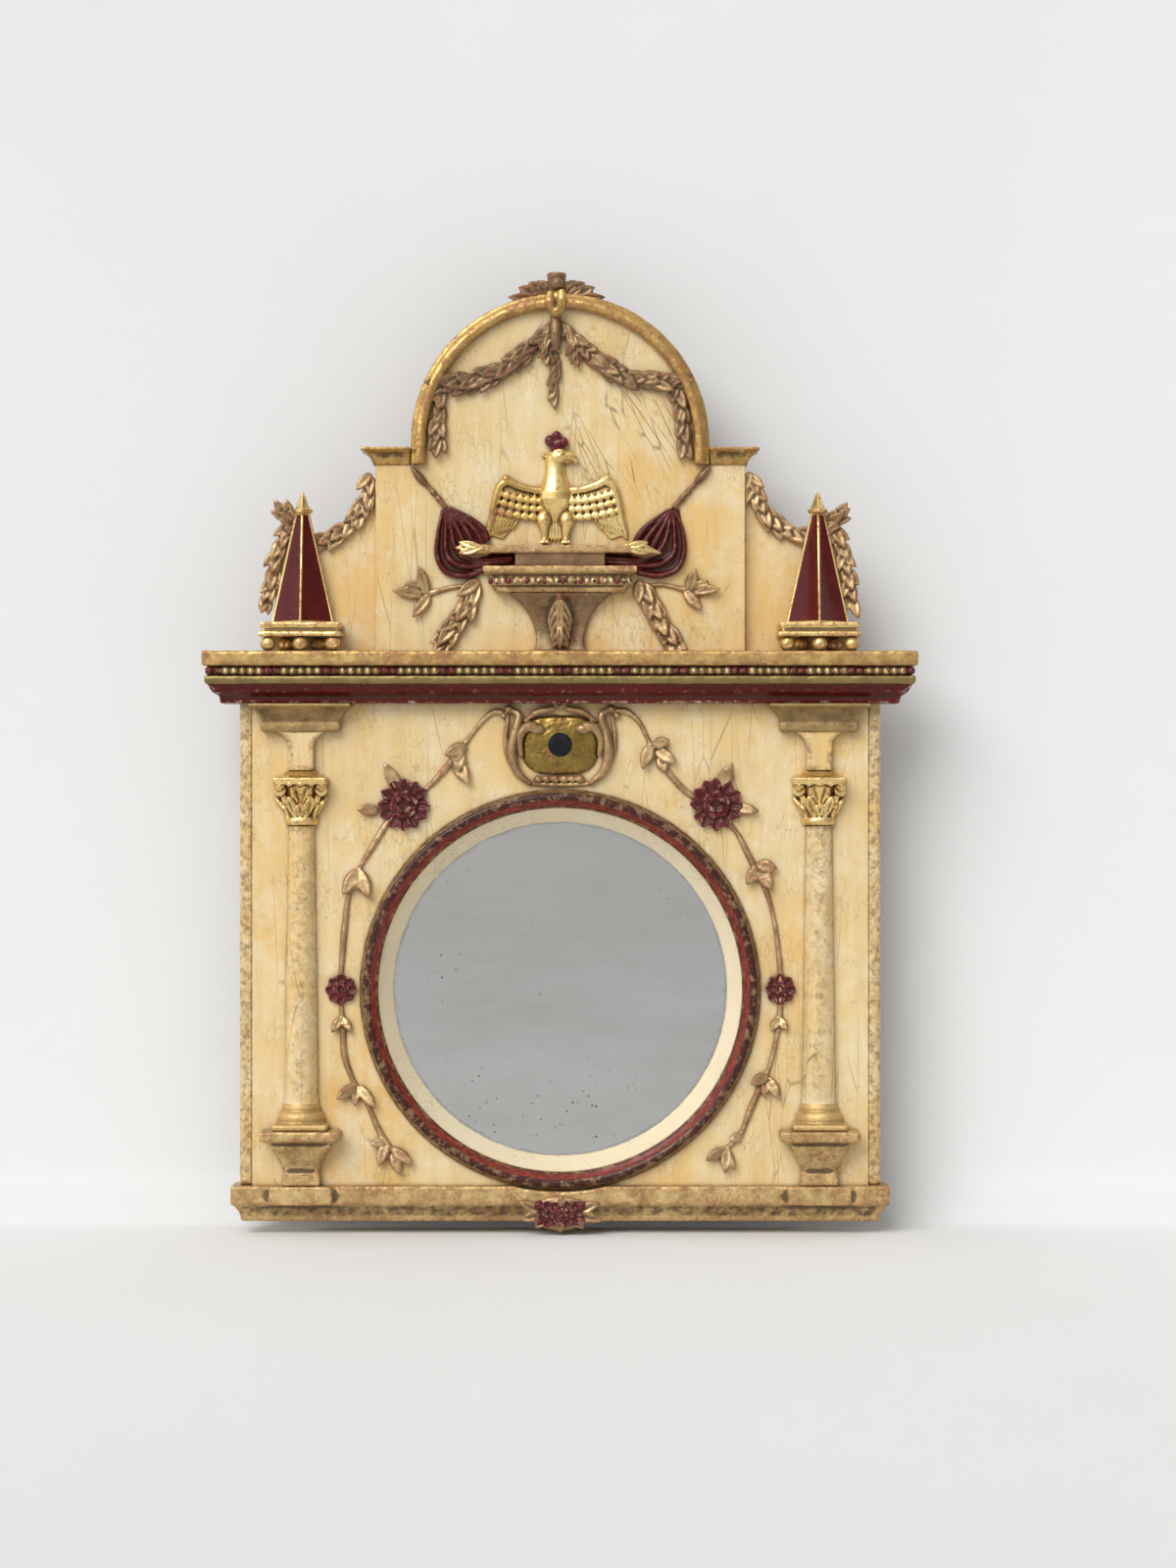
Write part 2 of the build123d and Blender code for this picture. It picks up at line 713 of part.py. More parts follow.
with BuildPart() as pierced_upper:
    add(upper_board.part)
    add(hanger_staple.part, mode=Mode.SUBTRACT)
    add(batten_nails.part, mode=Mode.SUBTRACT)
pierced_upper.part.label = "upper_board"
export_step(pierced_upper.part, "parts/upper_board.step")

with BuildPart() as pierced_batten:
    add(upper_batten.part)
    add(batten_nails.part, mode=Mode.SUBTRACT)
pierced_batten.part.label = "upper_batten"
export_step(pierced_batten.part, "parts/upper_batten.step")

with BuildPart() as pierced_lower_batten:
    add(lower_batten.part)
    add(batten_nails.part, mode=Mode.SUBTRACT)
pierced_lower_batten.part.label = "lower_batten"
export_step(pierced_lower_batten.part, "parts/lower_batten.step")

with BuildPart() as pierced_rail:
    add(base_rail.part)
    add(batten_nails.part, mode=Mode.SUBTRACT)
pierced_rail.part.label = "base_rail"
export_step(pierced_rail.part, "parts/base_rail.step")

# Arch moulding: half round between two fillets, over the arch and down its short legs
leg_h = ARCH_Z - SHOULDER_Z
with BuildPart() as arch_moulding:
    with BuildSketch(Plane.XY.offset(ARCH_Z)) as arch_section:
        with BuildLine():
            Polyline(
                (ARCH_OUT_R - ARCH_FILLET_W, -ARCH_FRONT - 0.35 * ARCH_RISE),
                (ARCH_OUT_R - ARCH_FILLET_W, -ARCH_FRONT - 0.6 * ARCH_RISE),
                (ARCH_OUT_R, -ARCH_FRONT - 0.6 * ARCH_RISE),
                (ARCH_OUT_R, -ARCH_FRONT),
                (ARCH_IN_R, -ARCH_FRONT),
                (ARCH_IN_R, -ARCH_FRONT - 0.35 * ARCH_RISE),
            )
            ThreePointArc(
                (ARCH_IN_R, -ARCH_FRONT - 0.35 * ARCH_RISE),
                ((ARCH_IN_R + ARCH_OUT_R - ARCH_FILLET_W) / 2, -ARCH_FRONT - ARCH_RISE),
                (ARCH_OUT_R - ARCH_FILLET_W, -ARCH_FRONT - 0.35 * ARCH_RISE),
            )
        make_face()
    revolve(axis=Axis((0, 0, ARCH_Z), (0, -1, 0)), revolution_arc=180)
    extrude(arch_section.sketch, amount=-leg_h)
    mirror(extrude(arch_section.sketch, amount=-leg_h), about=Plane.YZ)
arch_moulding.part.label = "arch_moulding"
export_step(arch_moulding.part, "parts/arch_moulding.step")

# Ear mouldings on the shoulders, from the arch's legs out past the panel's edge
ear_profile = [
    (EAR_OUT, SHOULDER_Z + EAR_H),
    (EAR_OUT, SHOULDER_Z + 0.8 * EAR_H),
    (EAR_OUT - 1.5, SHOULDER_Z + 0.8 * EAR_H),
    (3.0, SHOULDER_Z + 0.25 * EAR_H, -0.9 * EAR_OUT),
    (2.0, SHOULDER_Z + 0.25 * EAR_H),
    (2.0, SHOULDER_Z),
]
ear_block = moulding_block(ear_profile, ARCH_PANEL_W / 2, ARCH_FRONT, BATTEN_T)
for side, word in SIDES:
    with BuildPart() as ear_moulding:
        with BuildSketch(front(BATTEN_T)):
            with Locations((side * (ARCH_OUT_R + ARCH_PANEL_W / 2), SHOULDER_Z + EAR_H / 2)):
                Rectangle(ARCH_PANEL_W, EAR_H)
        extrude(amount=ARCH_FRONT + EAR_OUT)
        add(ear_block, mode=Mode.INTERSECT)
    ear_moulding.part.label = "ear_moulding_" + word
    export_step(ear_moulding.part, "parts/ear_moulding_" + word + ".step")

# Crest: a toothed leaf to each side over the arch, a cup and ball, and a clasp down over the moulding
crest_z = ARCH_Z + ARCH_OUT_R
with BuildPart() as crest_ornament:
    with BuildSketch(front(ARCH_FRONT - CREST_BACK)):
        with BuildLine():
            for side, word in SIDES:
                Polyline(
                    (0, crest_z + 10),
                    (side * 13, crest_z + 11),
                    (side * 15, crest_z + 8),
                    (side * 20, crest_z + 9),
                    (side * 22, crest_z + 5.5),
                    (side * 27, crest_z + 5),
                    (side * 28.5, crest_z + 1),
                    (side * 36, crest_z - 3.5),
                    (side * 30, crest_z - 8),
                    (0, crest_z - 8),
                )
        make_face()
        with Locations((0, ARCH_Z)):
            Circle(ARCH_OUT_R, mode=Mode.SUBTRACT)
    extrude(amount=CREST_T)
    with BuildSketch(front(ARCH_FRONT - CREST_BACK)):
        with BuildLine():
            Polyline(
                (-0.38 * CREST_CUP_W, crest_z + CREST_SEAT),
                (-0.5 * CREST_CUP_W, crest_z + CREST_CUP_H),
                (0.5 * CREST_CUP_W, crest_z + CREST_CUP_H),
                (0.38 * CREST_CUP_W, crest_z + CREST_SEAT),
                close=True,
            )
        make_face()
    extrude(amount=CREST_CUP_W)
    with BuildSketch(front(ARCH_FRONT)):
        with Locations((0, crest_z + CREST_BALL_R + 3 * CREST_SEAT)):
            Circle(CREST_BALL_R)
    extrude(amount=ARCH_RISE + 0.8 * CLASP_T)
    with BuildSketch(front(ARCH_FRONT + ARCH_RISE)):
        with Locations((0, crest_z - CLASP_H / 2)):
            RectangleRounded(CLASP_W, CLASP_H + 4, 0.4 * CLASP_W)
    extrude(amount=CLASP_T)
    with BuildSketch(front(ARCH_FRONT)):
        with Locations((0, crest_z + CREST_SEAT + CREST_CUP_H / 4)):
            Rectangle(0.6 * CREST_CUP_W, CREST_CUP_H / 2)
    extrude(amount=ARCH_RISE + 0.6 * CLASP_T)
crest_ornament.part.label = "crest_ornament"
export_step(crest_ornament.part, "parts/crest_ornament.step")

# Swags of laurel under the arch, each with a drop at its outer end, kept inside the arch moulding
swag_leaf = leaf(SWAG_LEAF, SWAG_LEAF_W)
swags = []
swag_spine = leaf(SWAG_LEAF, 0.8 * SWAG_LEAF_W, SWAG_SPINE_T)
for side, word in SIDES:
    swag_line = Spline(
        (side * 7, ARCH_Z + 77),
        (side * 20, ARCH_Z + 64),
        (side * 39, ARCH_Z + 50),
        (side * 60, ARCH_Z + 44),
        (side * 80, ARCH_Z + 41.5),
    )
    drop_line = Spline((side * 84, ARCH_Z + 43), (side * 86, ARCH_Z + 25), (side * 86, ARCH_Z + 10))
    with BuildPart() as swag:
        with Locations(on(ARCH_FRONT, along(swag_line, SWAG_ROWS, (-25, 25)))):
            add(swag_leaf)
        with Locations(on(ARCH_FRONT, along(swag_line, SWAG_ROWS, (0,)))):
            add(swag_spine)
        with Locations(on(ARCH_FRONT, along(drop_line, DROP_ROWS, (-20, 20)))):
            add(swag_leaf)
        add(arch_moulding.part, mode=Mode.SUBTRACT)
        with BuildSketch(front(ARCH_FRONT)):
            with Locations((side * (ARCH_OUT_R + ARCH_IN_R) / 2 + side * 50, ARCH_Z + 20)):
                Rectangle(100, 150)
            with Locations((0, ARCH_Z)):
                Circle(ARCH_OUT_R, mode=Mode.SUBTRACT)
        extrude(amount=ARCH_RISE, mode=Mode.SUBTRACT)
    swag.part.label = "swag_" + word
    export_step(swag.part, "parts/swag_" + word + ".step")
    swags.append(swag.part)

# Pendant of small leaves between the swags, under a short tube that comes out of the clasp
pendant_leaf = leaf(PENDANT_LEAF, PENDANT_LEAF_W)
pendant_line = Polyline((0, ARCH_Z + 80, 0), (0, ARCH_Z + 60, 0), (0, ARCH_Z + 42, 0))
with BuildPart() as swag_pendant:
    with Locations(on(ARCH_FRONT, along(pendant_line, PENDANT_ROWS, (-14, 14)))):
        add(pendant_leaf)
    with BuildSketch(front(ARCH_FRONT)):
        with Locations((0, ARCH_Z + 84)):
            Rectangle(PENDANT_LEAF_W, 14)
    extrude(amount=LEAF_T)
    for swag in swags:
        add(swag, mode=Mode.SUBTRACT)
    add(arch_moulding.part, mode=Mode.SUBTRACT)
swag_pendant.part.label = "swag_pendant"
export_step(swag_pendant.part, "parts/swag_pendant.step")

# Garlands that hang from the ears down over the wings and behind the obelisks
for side, word in SIDES:
    garland_line = Spline(
        (side * 134, 126),
        (side * 140, 112),
        (side * 150, 97),
        (side * 163, 87),
        (side * 178, 90),
        (side * 189, 93),
        (side * 197, 74),
        (side * 201, 56),
        (side * 202, 44),
    )
    with BuildPart() as wing_garland:
        with Locations(on(WING_FRONT, along(garland_line, GARLAND_ROWS, (-24, 24)))):
            add(swag_leaf)
        with Locations(on(WING_FRONT, along(garland_line, GARLAND_ROWS, (0,)))):
            add(swag_spine)
        add(arch_panel.part, mode=Mode.SUBTRACT)
        add(ear_block, mode=Mode.SUBTRACT)
    wing_garland.part.label = "wing_garland_" + word
    export_step(wing_garland.part, "parts/wing_garland_" + word + ".step")

# Console: a shelf over a course of beads and a plain band
console_bead_top = CONSOLE_Z - CONSOLE_SHELF_T
console_band_top = console_bead_top - CONSOLE_BEAD_H
console_foot = console_band_top - CONSOLE_BAND_H
console_beads = math.floor(CONSOLE_W / BEAD_PITCH) - 2
console_profile = [
    (CONSOLE_OUT, CONSOLE_Z),
    (CONSOLE_OUT, CONSOLE_Z - 0.6 * CONSOLE_SHELF_T),
    (CONSOLE_BEAD_OUT, console_bead_top, 1.2 * CONSOLE_SHELF_T),
    (CONSOLE_BEAD_OUT, console_band_top),
    (CONSOLE_BAND_OUT, console_band_top),
    (CONSOLE_BAND_OUT - 2, console_foot, 1.5 * CONSOLE_BAND_H),
]
with BuildPart() as console_shelf:
    add(moulding_block(console_profile, CONSOLE_W / 2 - CONSOLE_OUT, ARCH_FRONT, ARCH_FRONT))
    with BuildSketch(front(ARCH_FRONT + CONSOLE_BEAD_OUT)):
        with Locations((0, console_bead_top - CONSOLE_BEAD_H / 2)):
            with GridLocations(CONSOLE_BEAD_PITCH, 1, console_beads, 1):
                Rectangle(0.82 * CONSOLE_BEAD_PITCH, 0.82 * CONSOLE_BEAD_PITCH)
    extrude(amount=CONSOLE_BEAD_RISE, taper=20)
console_shelf.part.label = "console_shelf"
export_step(console_shelf.part, "parts/console_shelf.step")

# Console bracket: hollow sides seen from the front and from the side, with a hanging leaf on its face
bracket_waist_z = CONSOLE_FOOT_H
with BuildPart() as console_bracket:
    with BuildSketch(front(ARCH_FRONT)):
        with BuildLine():
            for side, word in SIDES:
                Line((0, console_foot), (side * CONSOLE_TOP_W / 2, console_foot))
                RadiusArc(
                    (side * CONSOLE_TOP_W / 2, console_foot),
                    (side * CONSOLE_WAIST_W / 2, bracket_waist_z),
                    -side * CONSOLE_HOLLOW_R,
                )
                Polyline(
                    (side * CONSOLE_WAIST_W / 2, bracket_waist_z),
                    (side * CONSOLE_FOOT_W / 2, 0),
                    (0, 0),
                )
        make_face()
    extrude(amount=CONSOLE_BAND_OUT)
    with BuildSketch(Plane.YZ):
        with BuildLine():
            Line((-ARCH_FRONT, console_foot), (-ARCH_FRONT - CONSOLE_BAND_OUT + 2, console_foot))
            RadiusArc(
                (-ARCH_FRONT - CONSOLE_BAND_OUT + 2, console_foot),
                (-ARCH_FRONT - CONSOLE_WAIST_OUT, bracket_waist_z),
                CONSOLE_HOLLOW_R,
            )
            Polyline(
                (-ARCH_FRONT - CONSOLE_WAIST_OUT, bracket_waist_z),
                (-ARCH_FRONT - CONSOLE_WAIST_OUT - 2, 0),
                (-ARCH_FRONT, 0),
                (-ARCH_FRONT, console_foot),
            )
        make_face()
    extrude(amount=CONSOLE_TOP_W, both=True, mode=Mode.INTERSECT)
    with Locations(front(ARCH_FRONT) * place(0, console_foot - 1, 270)):
        add(leaf(0.85 * console_foot, CONSOLE_LEAF_W, CONSOLE_BAND_OUT, 0.4 * CONSOLE_BAND_OUT))
console_bracket.part.label = "console_bracket"
export_step(console_bracket.part, "parts/console_bracket.step")

# Plinth block and slab under the eagle, with a leaf at each end of the slab
slab_z = CONSOLE_Z + PLINTH_BLOCK_H
perch_z = slab_z + PLINTH_SLAB_H
tip_leaf = leaf(PLINTH_TIP, PLINTH_TIP_W, PLINTH_SLAB_OUT - FLAG_T - 1, 3)
with BuildPart() as eagle_plinth:
    with BuildSketch(front(ARCH_FRONT)):
        with Locations((0, CONSOLE_Z + PLINTH_BLOCK_H / 2)):
            Rectangle(PLINTH_BLOCK_W, PLINTH_BLOCK_H)
    extrude(amount=PLINTH_BLOCK_OUT)
    with BuildSketch(front(ARCH_FRONT)):
        with Locations((0, slab_z + PLINTH_SLAB_H / 2)):
            Rectangle(PLINTH_SLAB_W, PLINTH_SLAB_H)
    extrude(amount=PLINTH_SLAB_OUT)
    for side, word in SIDES:
        with Locations(front(ARCH_FRONT + FLAG_T) * place(side * (PLINTH_SLAB_W / 2 - 4), slab_z + 3, 90 - side * 98)):
            add(tip_leaf)
eagle_plinth.part.label = "eagle_plinth"
export_step(eagle_plinth.part, "parts/eagle_plinth.step")

# Eagle: half-round body and head, hooked beak, thighs and legs, tail, and a crown of three berries
with BuildPart() as eagle_body:
    with BuildSketch(upright(EAGLE_X, ARCH_FRONT)):
        with BuildLine():
            Spline(
                (0, perch_z + 13),
                (0.55 * EAGLE_BODY_W / 2, perch_z + 17),
                (EAGLE_BODY_W / 2, perch_z + 32),
                (0.8 * EAGLE_BODY_W / 2, perch_z + 44),
                (0.8 * EAGLE_HEAD_W / 2, perch_z + 55),
                (EAGLE_HEAD_W / 2, perch_z + 62),
                (0, EAGLE_TOP_Z),
            )
            Line((0, EAGLE_TOP_Z), (0, perch_z + 13))
        make_face()
    revolve(axis=Axis((EAGLE_X, -ARCH_FRONT, 0), (0, 0, 1)))
    with BuildSketch(upright(EAGLE_X, ARCH_FRONT)):
        with BuildLine():
            Polyline(
                (2, perch_z + 65),
                (10, perch_z + 64),
                (15, perch_z + 60),
                (16, perch_z + 56),
                (12, perch_z + 58),
                (2, perch_z + 57),
                close=True,
            )
        make_face()
    extrude(amount=EAGLE_BEAK_T)
    for side, word in SIDES:
        with Locations((EAGLE_X + side * EAGLE_LEG_X, -ARCH_FRONT, perch_z + 15)):
            Sphere(EAGLE_THIGH_R)
        with BuildSketch(upright(EAGLE_X, ARCH_FRONT)):
            with Locations((side * EAGLE_LEG_X, perch_z + 8)):
                Rectangle(EAGLE_LEG_W, 16)
        extrude(amount=EAGLE_LEG_W + 2)
        with BuildSketch(upright(EAGLE_X, ARCH_FRONT)):
            with Locations((side * EAGLE_LEG_X, perch_z + EAGLE_TOE_H / 2)):
                Rectangle(2 * EAGLE_LEG_W, EAGLE_TOE_H)
        extrude(amount=PLINTH_SLAB_OUT - 3, taper=5)
    with BuildSketch(upright(EAGLE_X, ARCH_FRONT)):
        with BuildLine():
            Polyline(
                (-5, perch_z + 20),
                (-3.5, perch_z),
                (3.5, perch_z),
                (5, perch_z + 20),
                close=True,
            )
        make_face()
    extrude(amount=EAGLE_LEG_W)
    with Locations((EAGLE_X, -ARCH_FRONT, EAGLE_TOP_Z)):
        Cylinder(1.4 * BERRY_R, 2 * BERRY_R)
    with Locations(
        (EAGLE_X - 0.9 * BERRY_R, -ARCH_FRONT - BERRY_R, EAGLE_TOP_Z + 0.7 * BERRY_R),
        (EAGLE_X + BERRY_R, -ARCH_FRONT - BERRY_R, EAGLE_TOP_Z + 0.6 * BERRY_R),
        (EAGLE_X, -ARCH_FRONT - 0.8 * BERRY_R, EAGLE_TOP_Z + 2.1 * BERRY_R),
    ):
        Sphere(BERRY_R)
    add(behind(ARCH_FRONT), mode=Mode.SUBTRACT)
eagle_body.part.label = "eagle_body"
export_step(eagle_body.part, "parts/eagle_body.step")

# Wings: a flat field with long feathers below and a ball at the wrist
wings = []
wing_root = EAGLE_BODY_W / 2 - 1
feather = leaf(FEATHER, FEATHER_W, EAGLE_WING_T + 1.5, EAGLE_WING_T)
for side, word in SIDES:
    with BuildPart() as eagle_wing:
        with BuildSketch(upright(EAGLE_X, ARCH_FRONT)):
            with BuildLine():
                Polyline(
                    (side * wing_root, perch_z + 39),
                    (side * 22, perch_z + 41),
                    (side * 31, perch_z + 44),
                    (side * 37, perch_z + 48),
                    (side * 41, perch_z + 43),
                    (side * 45, perch_z + 24),
                    (side * 38, perch_z + 20),
                    (side * 28, perch_z + 18),
                    (side * 16, perch_z + 22),
                    (side * wing_root, perch_z + 30),
                    close=True,
                )
            make_face()
        extrude(amount=EAGLE_WING_T)
        for x, z, turn in FEATHERS:
            with Locations(upright(EAGLE_X, ARCH_FRONT) * place(side * x, perch_z + z, 270 + side * turn)):
                add(feather)
        with Locations((EAGLE_X + side * 37, -ARCH_FRONT - EAGLE_WING_T, perch_z + 46)):
            Sphere(WRIST_R)
        add(behind(ARCH_FRONT), mode=Mode.SUBTRACT)
        with BuildSketch(front(ARCH_FRONT)):
            with Locations((0, perch_z - 10)):
                Rectangle(2 * PLINTH_SLAB_W, 20)
        extrude(amount=3 * EAGLE_WING_T, mode=Mode.SUBTRACT)
        add(eagle_body.part, mode=Mode.SUBTRACT)
    eagle_wing.part.label = "eagle_wing_" + word
    export_step(eagle_wing.part, "parts/eagle_wing_" + word + ".step")
    wings.append(eagle_wing.part)

# Draped flags, gathered at the pole and led in under the eagle's slab
spear = leaf(SPEAR, SPEAR_W, LEAF_T, 1.6)
for side, word in SIDES:
    flag_outline = [
        (79, 104),
        (84, 102),
        (88, 82),
        (87, 66),
        (77, 53),
        (66, 52),
        (58, CONSOLE_Z),
        (PLINTH_BLOCK_W / 2, CONSOLE_Z),
        (PLINTH_BLOCK_W / 2, slab_z),
        (PLINTH_SLAB_W / 2 + 1, slab_z),
        (PLINTH_SLAB_W / 2 + 1, perch_z + 6),
    ]
    with BuildPart() as flag:
        with BuildSketch(front(ARCH_FRONT)):
            with BuildLine():
                Polyline([(side * x, z) for x, z in flag_outline], close=True)
            make_face()
        extrude(amount=0.5 * FLAG_T)
        for length, turn in FLAG_FOLDS:
            with Locations(front(ARCH_FRONT) * place(side * 81.5, 103, 270 - side * turn)):
                add(leaf(length, FLAG_FOLD_W, FLAG_T, 0.5 * FLAG_T))
        with Locations(front(ARCH_FRONT)):
            add(stem([(side * 80, 101), (side * 90, 114), (side * 93, 117)], FLAG_POLE_W, FLAG_T))
        with Locations(front(ARCH_FRONT) * place(side * 89, 113, 90 - side * 50)):
            add(spear)
        add(eagle_plinth.part, mode=Mode.SUBTRACT)
        add(console_shelf.part, mode=Mode.SUBTRACT)
        for wing in wings:
            add(wing, mode=Mode.SUBTRACT)
    flag.part.label = "flag_" + word
    export_step(flag.part, "parts/flag_" + word + ".step")

# Laurel branches: one hangs beside the console, one reaches out with three leaves
laurel_leaf = leaf(LAUREL_LEAF, LAUREL_LEAF_W)
for side, word in SIDES:
    branch_line = Spline((side * 60, 46), (side * 69, 27), (side * 79, 15))
    with BuildPart() as laurel:
        with Locations(on(ARCH_FRONT, along(branch_line, LAUREL_ROWS, (-22, 22)))):
            add(laurel_leaf)
        with Locations(front(ARCH_FRONT)):
            add(stem([(side * 60, 46), (side * 78, 45), (side * 93, 40)], STEM_W, STEM_T))
        for length, turn in LAUREL_SPRAY:
            with Locations(on(ARCH_FRONT, [place(side * 92, 40, 90 - side * turn)])):
                add(leaf(length, LAUREL_LEAF_W))
        with BuildSketch(front(ARCH_FRONT)):
            with Locations((0, -20)):
                Rectangle(BATTEN_W, 40)
        extrude(amount=2 * LEAF_T, mode=Mode.SUBTRACT)
        add(console_shelf.part, mode=Mode.SUBTRACT)
        add(console_bracket.part, mode=Mode.SUBTRACT)
    laurel.part.label = "laurel_" + word
    export_step(laurel.part, "parts/laurel_" + word + ".step")

# Obelisks: a half-diamond plan, sunk red panels between gilt borders, and a gilt tip
obelisk_foot = FOOT_H + OBELISK_SLAB_H
obelisk_back = WING_FRONT + OBELISK_BACK
tip_z = obelisk_foot + OBELISK_H
for side, word in SIDES:
    with BuildPart() as obelisk:
        for level, width in ((obelisk_foot, OBELISK_W), (tip_z, OBELISK_TOP_W)):
            with BuildSketch(Plane(origin=(side * OBELISK_X, -obelisk_back, level))):
                with BuildLine():
                    Polyline(
                        (-width / 2, 0),
                        (width / 2, 0),
                        (0, -OBELISK_OUT * width / OBELISK_W),
                        close=True,
                    )
                make_face()
        loft()
        flanks = obelisk.faces().filter_by(lambda f: abs(f.normal_at().Z) < 0.9 and f.normal_at().Y < -0.1)
        for flank in flanks:
            with BuildSketch(Plane(flank.center(), z_dir=flank.normal_at())) as panel:
                add(flank)
                offset(amount=-OBELISK_BORDER, mode=Mode.REPLACE)
            extrude(amount=-OBELISK_SUNK, mode=Mode.SUBTRACT)
        for level, width in ((tip_z, OBELISK_TOP_W + 3), (tip_z + OBELISK_TIP_H, 1.5)):
            with BuildSketch(Plane(origin=(side * OBELISK_X, -obelisk_back, level))):
                with BuildLine():
                    Polyline(
                        (-width / 2, 0),
                        (width / 2, 0),
                        (0, -OBELISK_OUT * width / OBELISK_W - 1),
                        close=True,
                    )
                make_face()
        loft()
    obelisk.part.label = "obelisk_" + word
    export_step(obelisk.part, "parts/obelisk_" + word + ".step")

    slab_profile = [
        (OBELISK_SLAB_FLARE - 1, obelisk_foot),
        (OBELISK_SLAB_FLARE - 1, FOOT_H + 0.7 * OBELISK_SLAB_H),
        (0, FOOT_H + 0.45 * OBELISK_SLAB_H, -0.7 * OBELISK_SLAB_H),
        (OBELISK_SLAB_FLARE, FOOT_H + 0.3 * OBELISK_SLAB_H),
        (OBELISK_SLAB_FLARE, FOOT_H),
    ]
    slab_reach = obelisk_back + OBELISK_OUT + 1
    with BuildPart() as obelisk_slab:
        with Locations((side * OBELISK_X, 0, 0)):
            add(moulding_block(slab_profile, OBELISK_SLAB_W / 2 - OBELISK_SLAB_FLARE, slab_reach, WING_FRONT))
    obelisk_slab.part.label = "obelisk_slab_" + word
    export_step(obelisk_slab.part, "parts/obelisk_slab_" + word + ".step")

# Ball feet, flattened where they meet the shelf and the slab: three in front and two behind
foot_front = -(obelisk_back + OBELISK_OUT + OBELISK_SLAB_FLARE + 1 - FOOT_R)
foot_back = -(WING_FRONT + FOOT_R + 1)
foot_step = OBELISK_SLAB_W / 2 - FOOT_R - 1
foot_places = []
for side, word in SIDES:
    for x, y in ((-1, foot_front), (0, foot_front), (1, foot_front), (-0.5, foot_back), (0.5, foot_back)):
        foot_places.append((side * OBELISK_X + x * foot_step, y, FOOT_H / 2))
with BuildPart() as obelisk_feet:
    with Locations(foot_places):
        Sphere(FOOT_R)
    with BuildSketch(Plane.XY):
        Rectangle(2 * PANEL_W, 4 * PANEL_FRONT)
    extrude(amount=FOOT_H, mode=Mode.INTERSECT)
obelisk_feet.part.label = "obelisk_feet"
export_step(obelisk_feet.part, "parts/obelisk_feet.step")

# Columns, from the bracket under the cornice down to the block on the base rail
band_top = CORNICE_FOOT - BRACKET_H
impost_top = band_top - BRACKET_BAND_H
necking_top = impost_top - IMPOST_H
abacus_top = necking_top - NECKING_H
bell_top = abacus_top - ABACUS_H
astragal_top = bell_top - CAPITAL_H
shaft_top = astragal_top - ASTRAGAL_H
pedestal_top = PANEL_FOOT + PEDESTAL_H
plinth_top = pedestal_top + PLINTH_H
base_top = plinth_top + BASE_H
shaft_foot = base_top + TORUS_H
bracket_profile = [
    (BRACKET_FLARE, CORNICE_FOOT),
    (BRACKET_FLARE, CORNICE_FOOT - 2),
    (0, band_top + 1, -1.3 * BRACKET_H),
    (0, band_top),
    (1, band_top),
    (1, impost_top + 1),
    (0, impost_top + 1),
    (0, impost_top),
]
necking_profile = [
    (-ABACUS_W / 2 + IMPOST_W / 2 + 1, necking_top),
    (-1.5, abacus_top, -2.2 * NECKING_H),
    (0, abacus_top),
    (0, bell_top),
]
slab_profile = [
    (PEDESTAL_FLARE + 7, pedestal_top),
    (PEDESTAL_FLARE + 7, pedestal_top - 0.75 * PEDESTAL_SLAB_H),
    (PEDESTAL_FLARE, pedestal_top - PEDESTAL_SLAB_H),
    (PEDESTAL_FLARE, pedestal_top - 1.3 * PEDESTAL_SLAB_H),
    (0, PANEL_FOOT + PEDESTAL_FOOT_H, -2.2 * (PEDESTAL_H - PEDESTAL_SLAB_H)),
    (1, PANEL_FOOT + PEDESTAL_FOOT_H),
    (1.5, PANEL_FOOT),
]
acanthus = leaf(0.95 * CAPITAL_H, CAPITAL_FOOT_W / 3, 3.2, 1.2)
